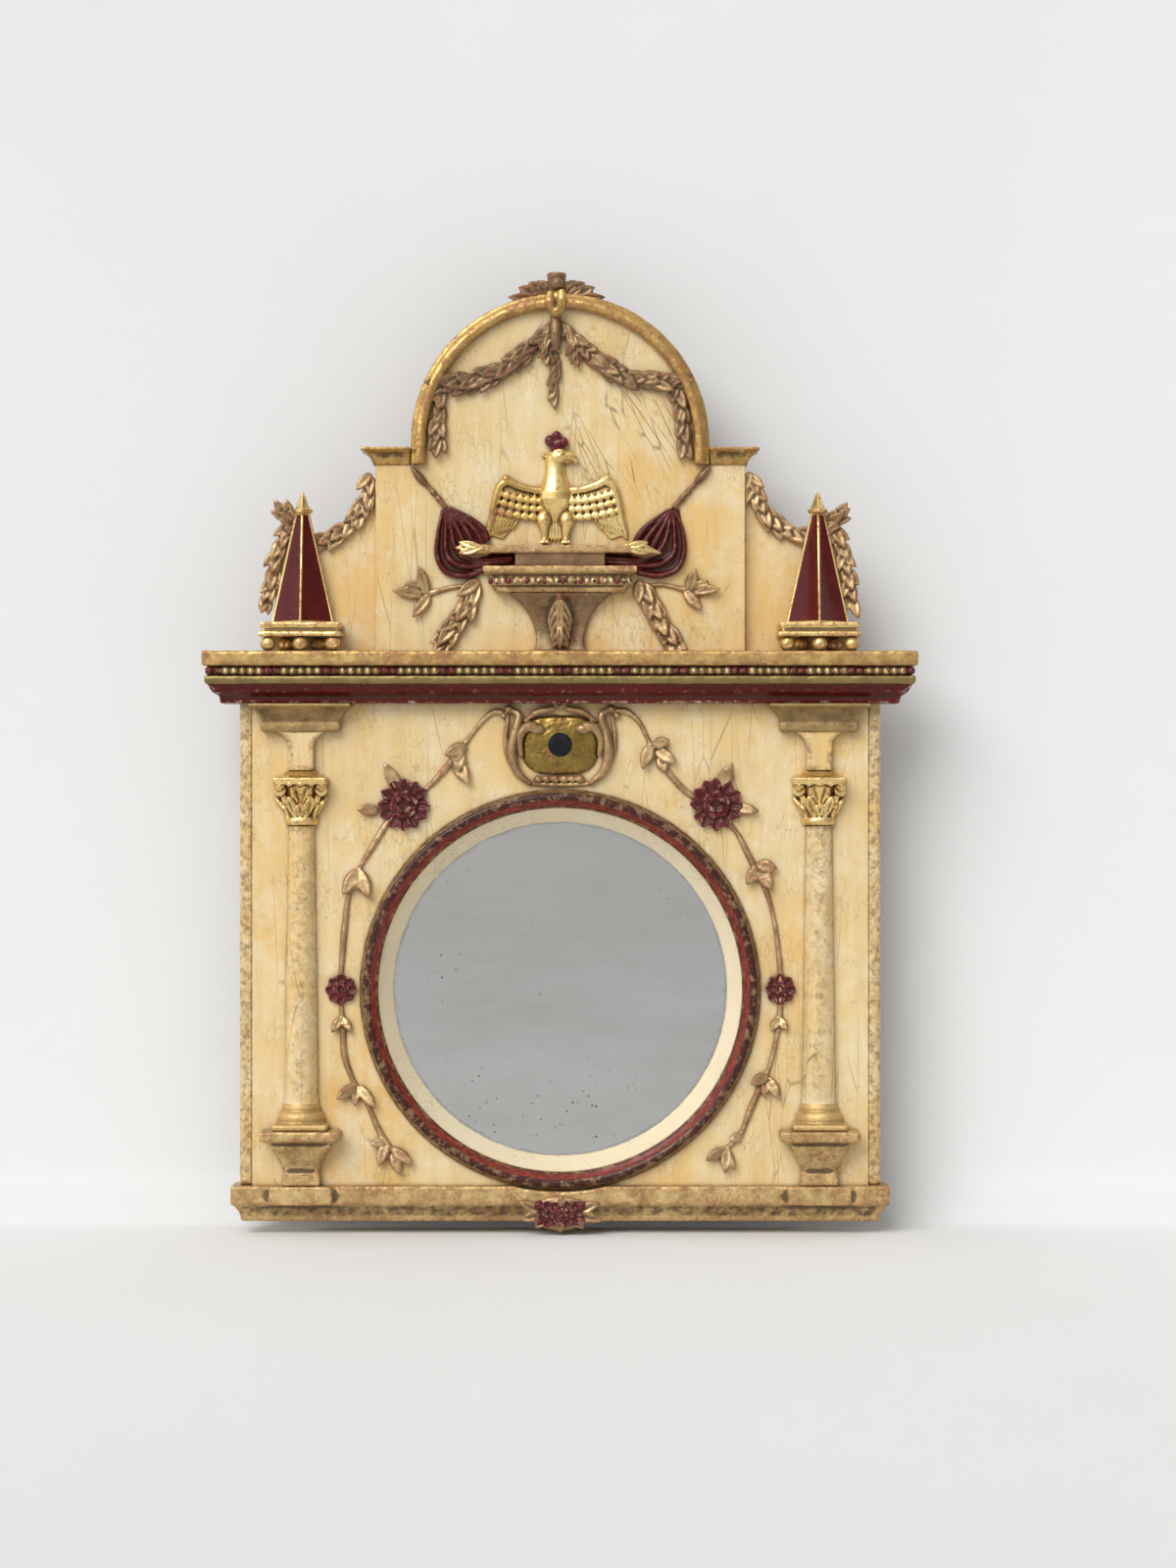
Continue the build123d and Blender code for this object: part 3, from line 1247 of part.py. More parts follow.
for side, word in SIDES:
    axis = Axis((side * COLUMN_X, -PANEL_FRONT, 0), (0, 0, 1))
    with BuildPart() as impost:
        with Locations((side * COLUMN_X, 0, 0)):
            add(moulding_block(bracket_profile, BRACKET_FOOT_W / 2, PANEL_FRONT + BRACKET_FOOT_OUT, PANEL_FRONT))
        with BuildSketch(upright(side * COLUMN_X, PANEL_FRONT)):
            with BuildLine():
                for turn in (-1, 1):
                    Line((0, impost_top), (turn * IMPOST_FLARE_W / 2, impost_top))
                    RadiusArc(
                        (turn * IMPOST_FLARE_W / 2, impost_top),
                        (turn * IMPOST_W / 2, impost_top - 0.4 * IMPOST_H),
                        -turn * 0.45 * IMPOST_H,
                    )
                    Polyline(
                        (turn * IMPOST_W / 2, impost_top - 0.4 * IMPOST_H),
                        (turn * IMPOST_W / 2, necking_top),
                        (0, necking_top),
                    )
            make_face()
        extrude(amount=IMPOST_OUT)
    impost.part.label = "impost_" + word
    export_step(impost.part, "parts/impost_" + word + ".step")

    with BuildPart() as capital:
        with Locations((side * COLUMN_X, 0, 0)):
            add(moulding_block(necking_profile, ABACUS_W / 2, PANEL_FRONT + ABACUS_OUT, PANEL_FRONT))
        with BuildSketch(upright(side * COLUMN_X, PANEL_FRONT)):
            with BuildLine():
                Line((0, bell_top), (0.85 * CAPITAL_TOP_W / 2, bell_top))
                RadiusArc(
                    (0.85 * CAPITAL_TOP_W / 2, bell_top),
                    (CAPITAL_FOOT_W / 2, astragal_top),
                    -1.6 * CAPITAL_H,
                )
                Line((CAPITAL_FOOT_W / 2, astragal_top), (ASTRAGAL_W / 2, astragal_top))
                RadiusArc((ASTRAGAL_W / 2, astragal_top), (ASTRAGAL_W / 2, shaft_top), 0.8 * ASTRAGAL_H)
                Polyline((ASTRAGAL_W / 2, shaft_top), (0, shaft_top), (0, bell_top))
            make_face()
        revolve(axis=axis)
        for turn in (-60, -20, 20, 60):
            root = Plane(
                origin=(
                    side * COLUMN_X + 0.9 * CAPITAL_FOOT_W / 2 * math.sin(math.radians(turn)),
                    -PANEL_FRONT - 0.9 * CAPITAL_FOOT_W / 2 * math.cos(math.radians(turn)),
                    astragal_top,
                ),
                x_dir=(0.28 * math.sin(math.radians(turn)), -0.28 * math.cos(math.radians(turn)), 1),
                z_dir=(math.sin(math.radians(turn)), -math.cos(math.radians(turn)), -0.28),
            )
            with Locations(root):
                add(acanthus)
        with BuildSketch(front(PANEL_FRONT)):
            with Locations(
                (side * COLUMN_X - CAPITAL_TOP_W / 2 + VOLUTE_R / 2, bell_top - VOLUTE_R),
                (side * COLUMN_X + CAPITAL_TOP_W / 2 - VOLUTE_R / 2, bell_top - VOLUTE_R),
            ):
                Circle(VOLUTE_R)
        extrude(amount=VOLUTE_T)
        add(behind(PANEL_FRONT), mode=Mode.SUBTRACT)
    capital.part.label = "capital_" + word
    export_step(capital.part, "parts/capital_" + word + ".step")

    with BuildPart() as column:
        with BuildSketch(upright(side * COLUMN_X, PANEL_FRONT)):
            with BuildLine():
                Polyline(
                    (0, plinth_top),
                    (0, shaft_top),
                    (SHAFT_TOP_W / 2, shaft_top),
                    (SHAFT_FOOT_W / 2, shaft_foot),
                    (TORUS_W / 2 - 1, shaft_foot),
                )
                RadiusArc((TORUS_W / 2 - 1, shaft_foot), (TORUS_W / 2 - 1, base_top), 0.7 * TORUS_H)
                Line((TORUS_W / 2 - 1, base_top), (BASE_W / 2 - 2, base_top))
                RadiusArc((BASE_W / 2 - 2, base_top), (BASE_W / 2 - 2, plinth_top), 0.7 * BASE_H)
                Line((BASE_W / 2 - 2, plinth_top), (0, plinth_top))
            make_face()
        revolve(axis=axis)
        with BuildSketch(Plane.XY.offset(pedestal_top)):
            with Locations((side * COLUMN_X, -PANEL_FRONT)):
                Rectangle(PLINTH_W, PLINTH_W)
        extrude(amount=PLINTH_H)
        add(behind(PANEL_FRONT), mode=Mode.SUBTRACT)
    column.part.label = "column_" + word
    export_step(column.part, "parts/column_" + word + ".step")

    with BuildPart() as pedestal:
        with Locations((side * COLUMN_X, 0, 0)):
            add(moulding_block(slab_profile, PEDESTAL_FOOT_W / 2, PANEL_FRONT + PEDESTAL_FOOT_OUT, PANEL_FRONT))
    pedestal.part.label = "pedestal_" + word
    export_step(pedestal.part, "parts/pedestal_" + word + ".step")

# Cartouche: a gilt shield in a frame of scrolls, with a dark glassy disc let into it
scroll_lines = [ThreePointArc((-29, CARTOUCHE_Z + 15), (0, CARTOUCHE_Z + 24), (29, CARTOUCHE_Z + 15))]
for turn in (-1, 1):
    scroll_lines.append(
        ThreePointArc(
            (turn * 29, CARTOUCHE_Z + 15),
            (turn * 36, CARTOUCHE_Z - 3),
            (turn * 22, CARTOUCHE_Z - 26),
        )
    )
with BuildPart() as cartouche:
    with BuildSketch(front(PANEL_FRONT)):
        with Locations((0, CARTOUCHE_Z)):
            RectangleRounded(SHIELD_W, SHIELD_H, 0.4 * SHIELD_H)
    extrude(amount=SHIELD_T)
    with BuildSketch(front(PANEL_FRONT)):
        trace(scroll_lines, SCROLL_W)
        with Locations([(turn * x, CARTOUCHE_Z + z) for turn in (-1, 1) for x, z in SCROLL_ENDS]):
            Circle(0.8 * SCROLL_W)
    extrude(amount=SCROLL_T)
    with BuildSketch(front(PANEL_FRONT)):
        with Locations((0, CARTOUCHE_Z + 24)):
            Circle(SCROLL_W / 2)
        with Locations((0, CARTOUCHE_Z - 24)):
            with GridLocations(8, 1, 5, 1):
                RegularPolygon(3.2, 6)
    extrude(amount=SCROLL_T + 1.5, taper=14)
    with BuildSketch(front(PANEL_FRONT + SHIELD_T)):
        with Locations((0, CARTOUCHE_Z)):
            Circle(DISC_R)
    extrude(amount=-DISC_SUNK, mode=Mode.SUBTRACT)
    with BuildSketch(front(PANEL_FRONT)):
        with Locations((0, CORNICE_FOOT + 20)):
            Rectangle(BATTEN_W, 40)
    extrude(amount=2 * SCROLL_T, mode=Mode.SUBTRACT)
    add(mirror_ring.part, mode=Mode.SUBTRACT)
cartouche.part.label = "cartouche"
export_step(cartouche.part, "parts/cartouche.step")

with BuildPart() as cartouche_disc:
    with BuildSketch(front(PANEL_FRONT + SHIELD_T - DISC_SUNK)):
        with Locations((0, CARTOUCHE_Z)):
            Circle(DISC_R)
    extrude(amount=DISC_T)
    chamfer(cartouche_disc.faces().sort_by(Axis.Y)[0].edges(), 0.8)
cartouche_disc.part.label = "cartouche_disc"
export_step(cartouche_disc.part, "parts/cartouche_disc.step")

# Flowering vines from the cartouche down both sides of the round moulding, and their four flowers
large_bloom = flower(LARGE_FLOWER_R, LARGE_PETALS)
small_bloom = flower(SMALL_FLOWER_R, SMALL_PETALS)
for side, word in SIDES:
    large_at = (side * 110, -107.5)
    small_at = (side * 154.5, -237.5)
    with BuildPart() as vine:
        with Locations(front(PANEL_FRONT)):
            add(stem([(side * x, z) for x, z in VINE_STEM]))
        for x, z, turn, share in VINE_LEAVES:
            with Locations(on(PANEL_FRONT, [place(side * x, z, 90 - side * (90 - turn))])):
                add(leaf(share * VINE_LEAF, VINE_LEAF_W))
        add(cartouche.part, mode=Mode.SUBTRACT)
        add(mirror_ring.part, mode=Mode.SUBTRACT)
    vine.part.label = "vine_" + word
    export_step(vine.part, "parts/vine_" + word + ".step")

    with BuildPart() as large_flower:
        with Locations(on(PANEL_FRONT, [place(large_at[0], large_at[1])])):
            add(large_bloom)
        add(vine.part, mode=Mode.SUBTRACT)
    large_flower.part.label = "large_flower_" + word
    export_step(large_flower.part, "parts/large_flower_" + word + ".step")

    with BuildPart() as small_flower:
        with Locations(on(PANEL_FRONT, [place(small_at[0], small_at[1])])):
            add(small_bloom)
        add(vine.part, mode=Mode.SUBTRACT)
    small_flower.part.label = "small_flower_" + word
    export_step(small_flower.part, "parts/small_flower_" + word + ".step")

# Rose cluster on the base rail
rose = flower(ROSE_R, SMALL_PETALS, ROSE_T)
rose_leaf = leaf(ROSE_LEAF, VINE_LEAF_W, ROSE_T, 3)
rose_depth = PANEL_FRONT + RAIL_OUT
rose_z = RAIL_FASCIA_FOOT - ROSE_DROP
with BuildPart() as base_roses:
    with BuildSketch(front(rose_depth)):
        with Locations((0, rose_z + ROSE_R / 2)):
            RectangleRounded(2.6 * ROSE_GAP, 2 * ROSE_R, 0.5 * ROSE_R)
    extrude(amount=0.5 * ROSE_T)
    with Locations(on(rose_depth, [place(-ROSE_GAP / 2, rose_z), place(ROSE_GAP / 2, rose_z, 20)])):
        add(rose)
    for x, z, turn in ROSE_LEAVES:
        with Locations(on(rose_depth, [place(x * ROSE_GAP, rose_z + z, turn)])):
            add(rose_leaf)
    add(mirror_ring.part, mode=Mode.SUBTRACT)
base_roses.part.label = "base_roses"
export_step(base_roses.part, "parts/base_roses.step")
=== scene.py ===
import math
import random

import bmesh
import bpy
import numpy as np
from mathutils import Matrix, Vector, noise
from mathutils.bvhtree import BVHTree


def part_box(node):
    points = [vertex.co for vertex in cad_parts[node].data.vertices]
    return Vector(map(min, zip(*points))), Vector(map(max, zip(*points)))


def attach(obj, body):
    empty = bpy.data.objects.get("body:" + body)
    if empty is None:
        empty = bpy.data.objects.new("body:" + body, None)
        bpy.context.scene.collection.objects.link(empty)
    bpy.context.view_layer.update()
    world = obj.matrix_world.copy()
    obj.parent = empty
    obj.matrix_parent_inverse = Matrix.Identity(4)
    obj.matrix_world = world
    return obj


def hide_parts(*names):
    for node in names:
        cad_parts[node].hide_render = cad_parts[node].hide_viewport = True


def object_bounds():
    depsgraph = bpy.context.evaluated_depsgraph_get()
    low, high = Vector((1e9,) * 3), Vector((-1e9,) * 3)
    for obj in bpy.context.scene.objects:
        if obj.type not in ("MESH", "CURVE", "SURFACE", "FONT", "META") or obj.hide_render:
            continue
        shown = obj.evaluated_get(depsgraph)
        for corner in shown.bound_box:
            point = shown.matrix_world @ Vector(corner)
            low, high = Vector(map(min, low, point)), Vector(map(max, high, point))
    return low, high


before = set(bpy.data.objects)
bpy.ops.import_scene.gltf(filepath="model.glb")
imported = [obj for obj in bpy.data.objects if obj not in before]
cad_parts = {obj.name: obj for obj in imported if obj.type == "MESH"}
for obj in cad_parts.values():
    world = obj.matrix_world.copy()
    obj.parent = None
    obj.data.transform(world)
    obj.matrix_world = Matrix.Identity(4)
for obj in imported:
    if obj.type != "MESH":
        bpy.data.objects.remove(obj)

bl_info = {
    "name": "Giltwood mirror",
    "version": (1, 0, 0),
    "blender": (4, 5, 0),
    "location": "View3D > Sidebar > Giltwood mirror",
    "description": "Carves, paints and gilds a wall mirror over its measured frame",
    "category": "Object",
}

MM = 0.001
FRAME_BODY = "frame"
CAD_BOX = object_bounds()
SIDES = ((-1, "left"), (1, "right"))
OUT = Vector((0, -1, 0))
MERGE = 0.00002
END_ON = 0.2
LEAF_LAG = 0.006
LEAF_SIZES = (0.85, 1.12)
BEAD_SIZES = ((0.82, 0.85, 0.85), (1.05, 1.1, 1.08))
CRACK_WANDER = 0.004
BAND_BELOW_BEADS = 5.7
BAND_REACH = 20
REVEAL_RADIUS = 128.0
PLATE_RIM = (119.5, 122.0)

# Colours that belong to one finish; the ones that a user would change are in MirrorColours
STREAK = (0.52, 0.33, 0.12)
REVEAL_CREAM = (0.82, 0.72, 0.52)
RUBBED_PAINT = (0.50, 0.32, 0.12)
BARE_EDGE = ((0.24, 0.13, 0.05), (0.60, 0.42, 0.19))
PALE_WOOD = (0.30, 0.19, 0.10)
DARK_GRAIN = (0.06, 0.035, 0.018)
# Painted shade for the corners of bare wood.
WOOD_CORNER_SHADE = (0.05, 0.035, 0.022)
DARK_FLAME = (0.085, 0.013, 0.009)
PALE_FLAME = (0.38, 0.14, 0.065)
HALF_ROUND = ((0.030, 0.009, 0.006), (0.085, 0.010, 0.007))
OUTER_FILLET = ((0.10, 0.05, 0.025), (0.34, 0.21, 0.09))
SILVER_HAZE = (0.43, 0.43, 0.415)
SILVER_GRAIN = (0.30, 0.295, 0.28)
FOXING = (0.03, 0.028, 0.026)
RUST = (0.13, 0.05, 0.02)
BLACK_GLASS = ((0.004, 0.005, 0.006), (0.012, 0.02, 0.03))
BEAD_GOLD = ((0.50, 0.34, 0.14), (0.76, 0.58, 0.31))
BEAD_RED = ((0.10, 0.006, 0.01), (0.26, 0.04, 0.04))
CONSOLE_BEADS = ((0.60, 0.45, 0.24), (0.16, 0.012, 0.014))


def depth_of(node):
    """How far the node's front stands from the wall, in millimetres."""
    return -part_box(node)[0].y / MM


def front_at(node, x, z):
    """How far the node's front stands from the wall at one place, in millimetres."""
    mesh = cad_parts[node].data
    tree = BVHTree.FromPolygons([v.co for v in mesh.vertices], [face.vertices for face in mesh.polygons])
    hit = tree.ray_cast(Vector((x * MM, -1, z * MM)), Vector((0, 1, 0)))[0]
    return -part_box(node)[1].y / MM if hit is None else -hit.y / MM


def middle_of(node):
    low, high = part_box(node)
    return (low + high) / 2 / MM


PANEL_FACE = depth_of("main_board")
WING_FACE = depth_of("upper_board")
ARCH_FACE = depth_of("arch_panel")
RING_Z = middle_of("mirror_glass").z


class MirrorSizes(bpy.types.PropertyGroup):
    """Sizes that a user would change"""
    camera_distance: bpy.props.FloatProperty(
        name="Camera distance", description="From the camera to the wall", default=2.3, unit="LENGTH")
    view_height: bpy.props.FloatProperty(
        name="View height", description="Height of the picture at the mirror", default=1.12, unit="LENGTH")
    fine_voxel: bpy.props.FloatProperty(
        name="Fine carving", description="Grid that fuses the finest carving", default=0.00056, unit="LENGTH")
    coarse_voxel: bpy.props.FloatProperty(
        name="Coarse carving", description="Grid that fuses mouldings", default=0.0011, unit="LENGTH")
    laurel_leaf: bpy.props.FloatProperty(
        name="Laurel leaf", description="Length of a leaf in the garlands", default=0.0145, unit="LENGTH")
    bead_pitch: bpy.props.FloatProperty(
        name="Bead pitch", description="Step between two beads under the cornice", default=0.0058,
        unit="LENGTH")
    sun_strength: bpy.props.FloatProperty(
        name="Key light", description="Strength of the soft key light", default=2.15)
    sky_strength: bpy.props.FloatProperty(
        name="Fill light", description="Strength of the light from all round", default=0.52)


def colour_prop(name, description, value):
    return bpy.props.FloatVectorProperty(
        name=name, description=description, subtype="COLOR", size=3, min=0, max=1, default=value)


class MirrorColours(bpy.types.PropertyGroup):
    """Colours that a user would change"""
    cream: colour_prop("Cream", "The painted ground", (0.79, 0.625, 0.345))
    honey: colour_prop("Honey", "Warm stains in the paint", (0.76, 0.47, 0.145))
    chalk: colour_prop("Chalk", "Gesso where the paint is thin", (0.84, 0.74, 0.53))
    # The crack colour: real soiling in the cracks, and painted shade in the corners.
    grime_and_shade: colour_prop("Grime", "Dirt in cracks and corners", (0.10, 0.055, 0.02))
    bole: colour_prop("Bole", "Red clay under the leaf", (0.30, 0.105, 0.045))
    copper: colour_prop("Copper", "Leaf gone pinkish brown", (0.45, 0.285, 0.145))
    # Umber: real toning and soiling, and also painted shade in hollows, corners and the gaps between beads.
    umber: colour_prop("Umber", "Dark toning in the hollows", (0.055, 0.027, 0.011))
    burgundy: colour_prop("Burgundy", "Lacquer", (0.080, 0.0035, 0.0035))
    flame: colour_prop("Flame", "Light red in the round moulding", (0.30, 0.032, 0.014))
    plate: colour_prop("Plate", "Old silvering", (0.535, 0.54, 0.53))
    wood: colour_prop("Wood", "Bare boards behind", (0.20, 0.115, 0.055))
    iron: colour_prop("Iron", "Ring, staple and nails", (0.035, 0.031, 0.028))
    backdrop: colour_prop("Backdrop", "Wall and floor", (0.80, 0.80, 0.79))


def sizes():
    return bpy.context.scene.mirror_sizes


def colours():
    return bpy.context.scene.mirror_colours


# Places and solids. Points are millimetres across, up and out from the wall.

def at(x, z, depth):
    return Vector((x, -depth, z)) * MM


def place(x, z, depth, turn=0, tilt=0):
    """A local frame on the front: X along the turn, Z out of the wall, tilt lifts the far end."""
    angle = math.radians(turn)
    ahead = Vector((math.cos(angle), 0, math.sin(angle)))
    basis = Matrix((ahead, OUT.cross(ahead), OUT)).transposed().to_4x4()
    return Matrix.Translation(at(x, z, depth)) @ basis @ Matrix.Rotation(math.radians(-tilt), 4, "Y")


def circle(count):
    """Even steps round a circle, in radians."""
    return [2 * math.pi * n / count for n in range(count)]


def smooth_path(points, steps=6):
    """A smooth line through the points given."""
    points = [Vector(p) for p in points]
    if len(points) < 3:
        return points
    ends = [2 * points[0] - points[1]] + points + [2 * points[-1] - points[-2]]
    line = []
    for i in range(1, len(ends) - 2):
        a, b, c, d = ends[i - 1:i + 3]
        for k in range(steps):
            t = k / steps
            line.append(0.5 * (2 * b + (c - a) * t + (2 * a - 5 * b + 4 * c - d) * t * t
                               + (3 * b - a - 3 * c + d) * t ** 3))
    line.append(points[-1])
    return line


def skin(bm, rings):
    """Joins rings of points into a closed bar."""
    rows = [[bm.verts.new(p) for p in ring] for ring in rings]
    count = len(rows[0])
    for near, far in zip(rows, rows[1:]):
        for i in range(count):
            j = (i + 1) % count
            bm.faces.new((near[i], near[j], far[j], far[i]))
    bm.faces.new(list(reversed(rows[0])))
    bm.faces.new(rows[-1])


def add_bar(bm, points, radii, sides=10, flat=1.0, steps=5):
    """A round bar on a smooth line, as thick as the radii say; flat squeezes it towards the wall."""
    line = smooth_path(points, steps)
    rings = []
    for i, p in enumerate(line):
        t = i / (len(line) - 1) * (len(radii) - 1)
        k = min(int(t), len(radii) - 2)
        r = radii[k] + (radii[k + 1] - radii[k]) * (t - k)
        ahead = (line[min(i + 1, len(line) - 1)] - line[max(i - 1, 0)]).normalized()
        across = ahead.cross(OUT)
        if across.length < END_ON:
            across = Vector((1, 0, 0))
        across.normalize()
        out = across.cross(ahead).normalized()
        rings.append([p + r * MM * (across * math.cos(a) + out * math.sin(a) * flat) for a in circle(sides)])
    skin(bm, rings)


def add_run(bm, origin, side, points, radii, sides=10, **shape):
    """A bar through points that are counted from the origin and mirrored to one side (-1 or 1)."""
    x, z, depth = origin
    add_bar(bm, [at(x + side * px, z + pz, depth + pd) for px, pz, pd in points], radii, sides, **shape)


def add_stem(bm, points, depth, radii, **shape):
    """A bar that keeps its depth."""
    add_bar(bm, [at(x, z, depth) for x, z in points], radii, **shape)


def leaf_rings(length, width, thick, fold=0.5, curl=0.0, blunt=0.0, stations=8, sides=8):
    """Rings of a carved leaf along +X with a groove down its middle; curl lifts or drops its tip."""
    rings = []
    for i in range(stations + 1):
        t = i / stations
        body = math.sin(math.pi * min(1, 0.08 + 0.92 * t) ** (0.85 + blunt)) ** 0.8 if t < 1 else 0
        half = max(0.03, body) * width / 2
        height = max(0.06, body ** 0.6) * thick
        ring = []
        for a in circle(sides):
            y = half * math.cos(a)
            groove = fold * thick * math.exp(-(math.cos(a) / 0.35) ** 2) if math.sin(a) > 0 else 0
            z = height * (0.75 * math.sin(a) + 0.25) - groove * body + curl * t * t
            ring.append(Vector((length * t, y, z)) * MM)
        rings.append(ring)
    return rings


def add_leaf(bm, matrix, length, width, thick, **shape):
    skin(bm, [[matrix @ p for p in ring] for ring in leaf_rings(length, width, thick, **shape)])


def add_ball(bm, x, z, depth, radius, scale=(1, 1, 1), detail=3):
    matrix = Matrix.Translation(at(x, z, depth)) @ Matrix.Diagonal((*scale, 1))
    bmesh.ops.create_icosphere(bm, subdivisions=detail, radius=radius * MM, matrix=matrix)


def add_plate(bm, outline, back, face):
    """A flat plate with this outline, from one depth to another."""
    area = sum(a[0] * b[1] - b[0] * a[1] for a, b in zip(outline, outline[1:] + outline[:1]))
    points = outline if area > 0 else list(reversed(outline))
    skin(bm, [[at(x, z, back) for x, z in points], [at(x, z, face) for x, z in points]])


def add_lathe(bm, x, z_list, radii, depth, flat=1.0, sides=40):
    """A turned piece that stands upright at x, squeezed towards the wall by flat."""
    rings = []
    for z, r in zip(z_list, radii):
        rings.append([at(x + r * math.cos(a), z, depth + r * math.sin(a) * flat) for a in circle(sides)])
    skin(bm, [list(reversed(ring)) for ring in rings])


def add_flower(bm, x, z, depth, radius, count, chance):
    """An outer ring of cupped petals round a small rose with an open heart."""
    for i in range(count):
        angle = 360 * i / count + chance.uniform(-4, 4)
        a = math.radians(angle)
        start = 0.42 * radius
        add_leaf(bm, place(x + start * math.cos(a), z + start * math.sin(a), depth + 1.0, angle, 12),
                 0.64 * radius, 2 * math.pi * radius / count * 0.86, 3.4, fold=0.9, blunt=0.45, curl=0.6)
    add_ball(bm, x, z, depth + 0.6, 0.54 * radius, (1, 0.42, 1))
    for share, lift, size, petals in ((0.44, 0.17, 0.14, 6), (0.27, 0.28, 0.11, 4)):
        for i in range(petals):
            a = 2 * math.pi * (i + 0.37 * petals) / petals + chance.uniform(-0.1, 0.1)
            points = [at(x + share * radius * math.cos(a + turn), z + share * radius * math.sin(a + turn),
                         depth + radius * (lift + rise) + 0.8)
                      for turn, rise in ((-0.55, -0.05), (0, 0.03), (0.6, -0.02))]
            add_bar(bm, points, [0.6 * size * radius, size * radius, 0.6 * size * radius], 8)


# Turning solids into carved, gessoed and worn surfaces

def new_piece(name, bm):
    bmesh.ops.recalc_face_normals(bm, faces=bm.faces)
    mesh = bpy.data.meshes.new(name)
    bm.to_mesh(mesh)
    bm.free()
    piece = bpy.data.objects.new(name, mesh)
    bpy.context.scene.collection.objects.link(piece)
    return piece


def evaluated_mesh(piece):
    """The piece's mesh with its modifiers applied, which are then removed."""
    graph = bpy.context.evaluated_depsgraph_get()
    mesh = bpy.data.meshes.new_from_object(piece.evaluated_get(graph), depsgraph=graph)
    piece.modifiers.clear()
    return mesh


def fuse(piece, voxel):
    """Fuses overlapping solids into one skin on a grid of this size."""
    remesh = piece.modifiers.new("Fuse", "REMESH")
    remesh.mode = "VOXEL"
    remesh.voxel_size = voxel
    piece.data = evaluated_mesh(piece)
    if not piece.data.vertices:
        raise RuntimeError(piece.name + " came out empty")


def read_points(mesh):
    points = np.empty(len(mesh.vertices) * 3)
    mesh.vertices.foreach_get("co", points)
    return points.reshape(-1, 3)


def write_points(mesh, points):
    mesh.vertices.foreach_set("co", points.ravel())
    mesh.update()


def read_normals(mesh):
    normals = np.empty(len(mesh.vertices) * 3)
    mesh.vertex_normals.foreach_get("vector", normals)
    return normals.reshape(-1, 3)


def trim(mesh, foot=CAD_BOX[0][2], top=CAD_BOX[1][2]):
    """Moves whatever hangs below foot, or stands above top, back to it."""
    points = read_points(mesh)
    points[:, 2] = np.clip(points[:, 2], foot, top)
    write_points(mesh, points)


def edge_ends(mesh):
    ends = np.empty(len(mesh.edges) * 2, dtype=np.int64)
    mesh.edges.foreach_get("vertices", ends)
    return ends[0::2], ends[1::2]


def relaxed(points, a, b, rounds, share=0.5):
    """Points moved towards the middle of their neighbours."""
    count = len(points)
    valence = np.maximum(1, np.bincount(a, minlength=count) + np.bincount(b, minlength=count))[:, None]
    points = points.copy()
    for _ in range(rounds):
        total = np.stack([np.bincount(a, points[b, k], count) + np.bincount(b, points[a, k], count)
                          for k in range(3)], axis=1)
        points += share * (total / valence - points)
    return points


def soften(mesh, rounds, wobble, grain=140.0, seat=None):
    """Rounds the carving off and makes it uneven; seat keeps it out of the wood behind."""
    a, b = edge_ends(mesh)
    points = relaxed(read_points(mesh), a, b, rounds)
    write_points(mesh, points)
    lift = np.array([noise.noise(Vector(p) * grain) + 0.5 * noise.noise(Vector(p) * grain * 2.7)
                     for p in points])
    points += read_normals(mesh) * (lift * wobble * MM)[:, None]
    if seat is not None:
        points[:, 1] = np.minimum(points[:, 1], -seat * MM)
    write_points(mesh, np.clip(points, CAD_BOX[0], CAD_BOX[1]))
    mark_relief(mesh)


def mark_relief(mesh, reach=22, depth=0.38):
    """Stores how far each point stands out of, or lies under, its surroundings, for wear and painted
    highlights on the ridges, and toning and painted shade in the hollows.
    """
    a, b = edge_ends(mesh)
    points = read_points(mesh)
    around = relaxed(points, a, b, reach, 0.6)
    rise = np.einsum("ij,ij->i", points - around, read_normals(mesh)) / (depth * MM)
    for name, value in (("ridge", rise), ("hollow", -rise)):
        layer = mesh.attributes.new(name, "FLOAT", "POINT")
        layer.data.foreach_set("value", np.clip(value, 0, 1).astype(np.float32))


def finish_piece(piece, finish, nodes):
    """Gives the piece its material, hides the nodes it stands for, and hangs the piece on the frame's body.
    """
    if finish is not None:
        piece.data.materials.clear()
        piece.data.materials.append(finish)
    piece.data.polygons.foreach_set("use_smooth", [True] * len(piece.data.polygons))
    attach(piece, FRAME_BODY)
    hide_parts(*nodes)
    return piece


def carve(name, bm, voxel, rounds=2, wobble=0.12, seat=None):
    """Fuses and softens the solids in bm."""
    piece = new_piece(name, bm)
    fuse(piece, voxel)
    soften(piece.data, rounds, wobble, seat=seat)
    return piece


def carved(name, bm, finish, slot, nodes=(), face=None, rounds=1, wobble=0.15, sunk=0.4, grid=1.0, **ends):
    """Carves what bm holds on the fine grid; it goes no deeper than sunk behind the face it is glued to."""
    seat = None if face is None else face - sunk
    piece = carve(name, bm, grid * sizes().fine_voxel, rounds, wobble, seat)
    if ends:
        trim(piece.data, **ends)
    return finish_piece(piece, finish, nodes)


def aged(node, name, voxel, rounds, wobble, finish, extra=None):
    """A fused, softened and finished copy of a node of the frame, with more carving where extra adds it."""
    bm = bmesh.new()
    bm.from_mesh(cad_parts[node].data)
    bmesh.ops.remove_doubles(bm, verts=bm.verts, dist=MERGE)
    if extra is not None:
        extra(bm)
    return finish_piece(carve(name, bm, voxel, rounds, wobble), finish, [node])


# Node trees for materials

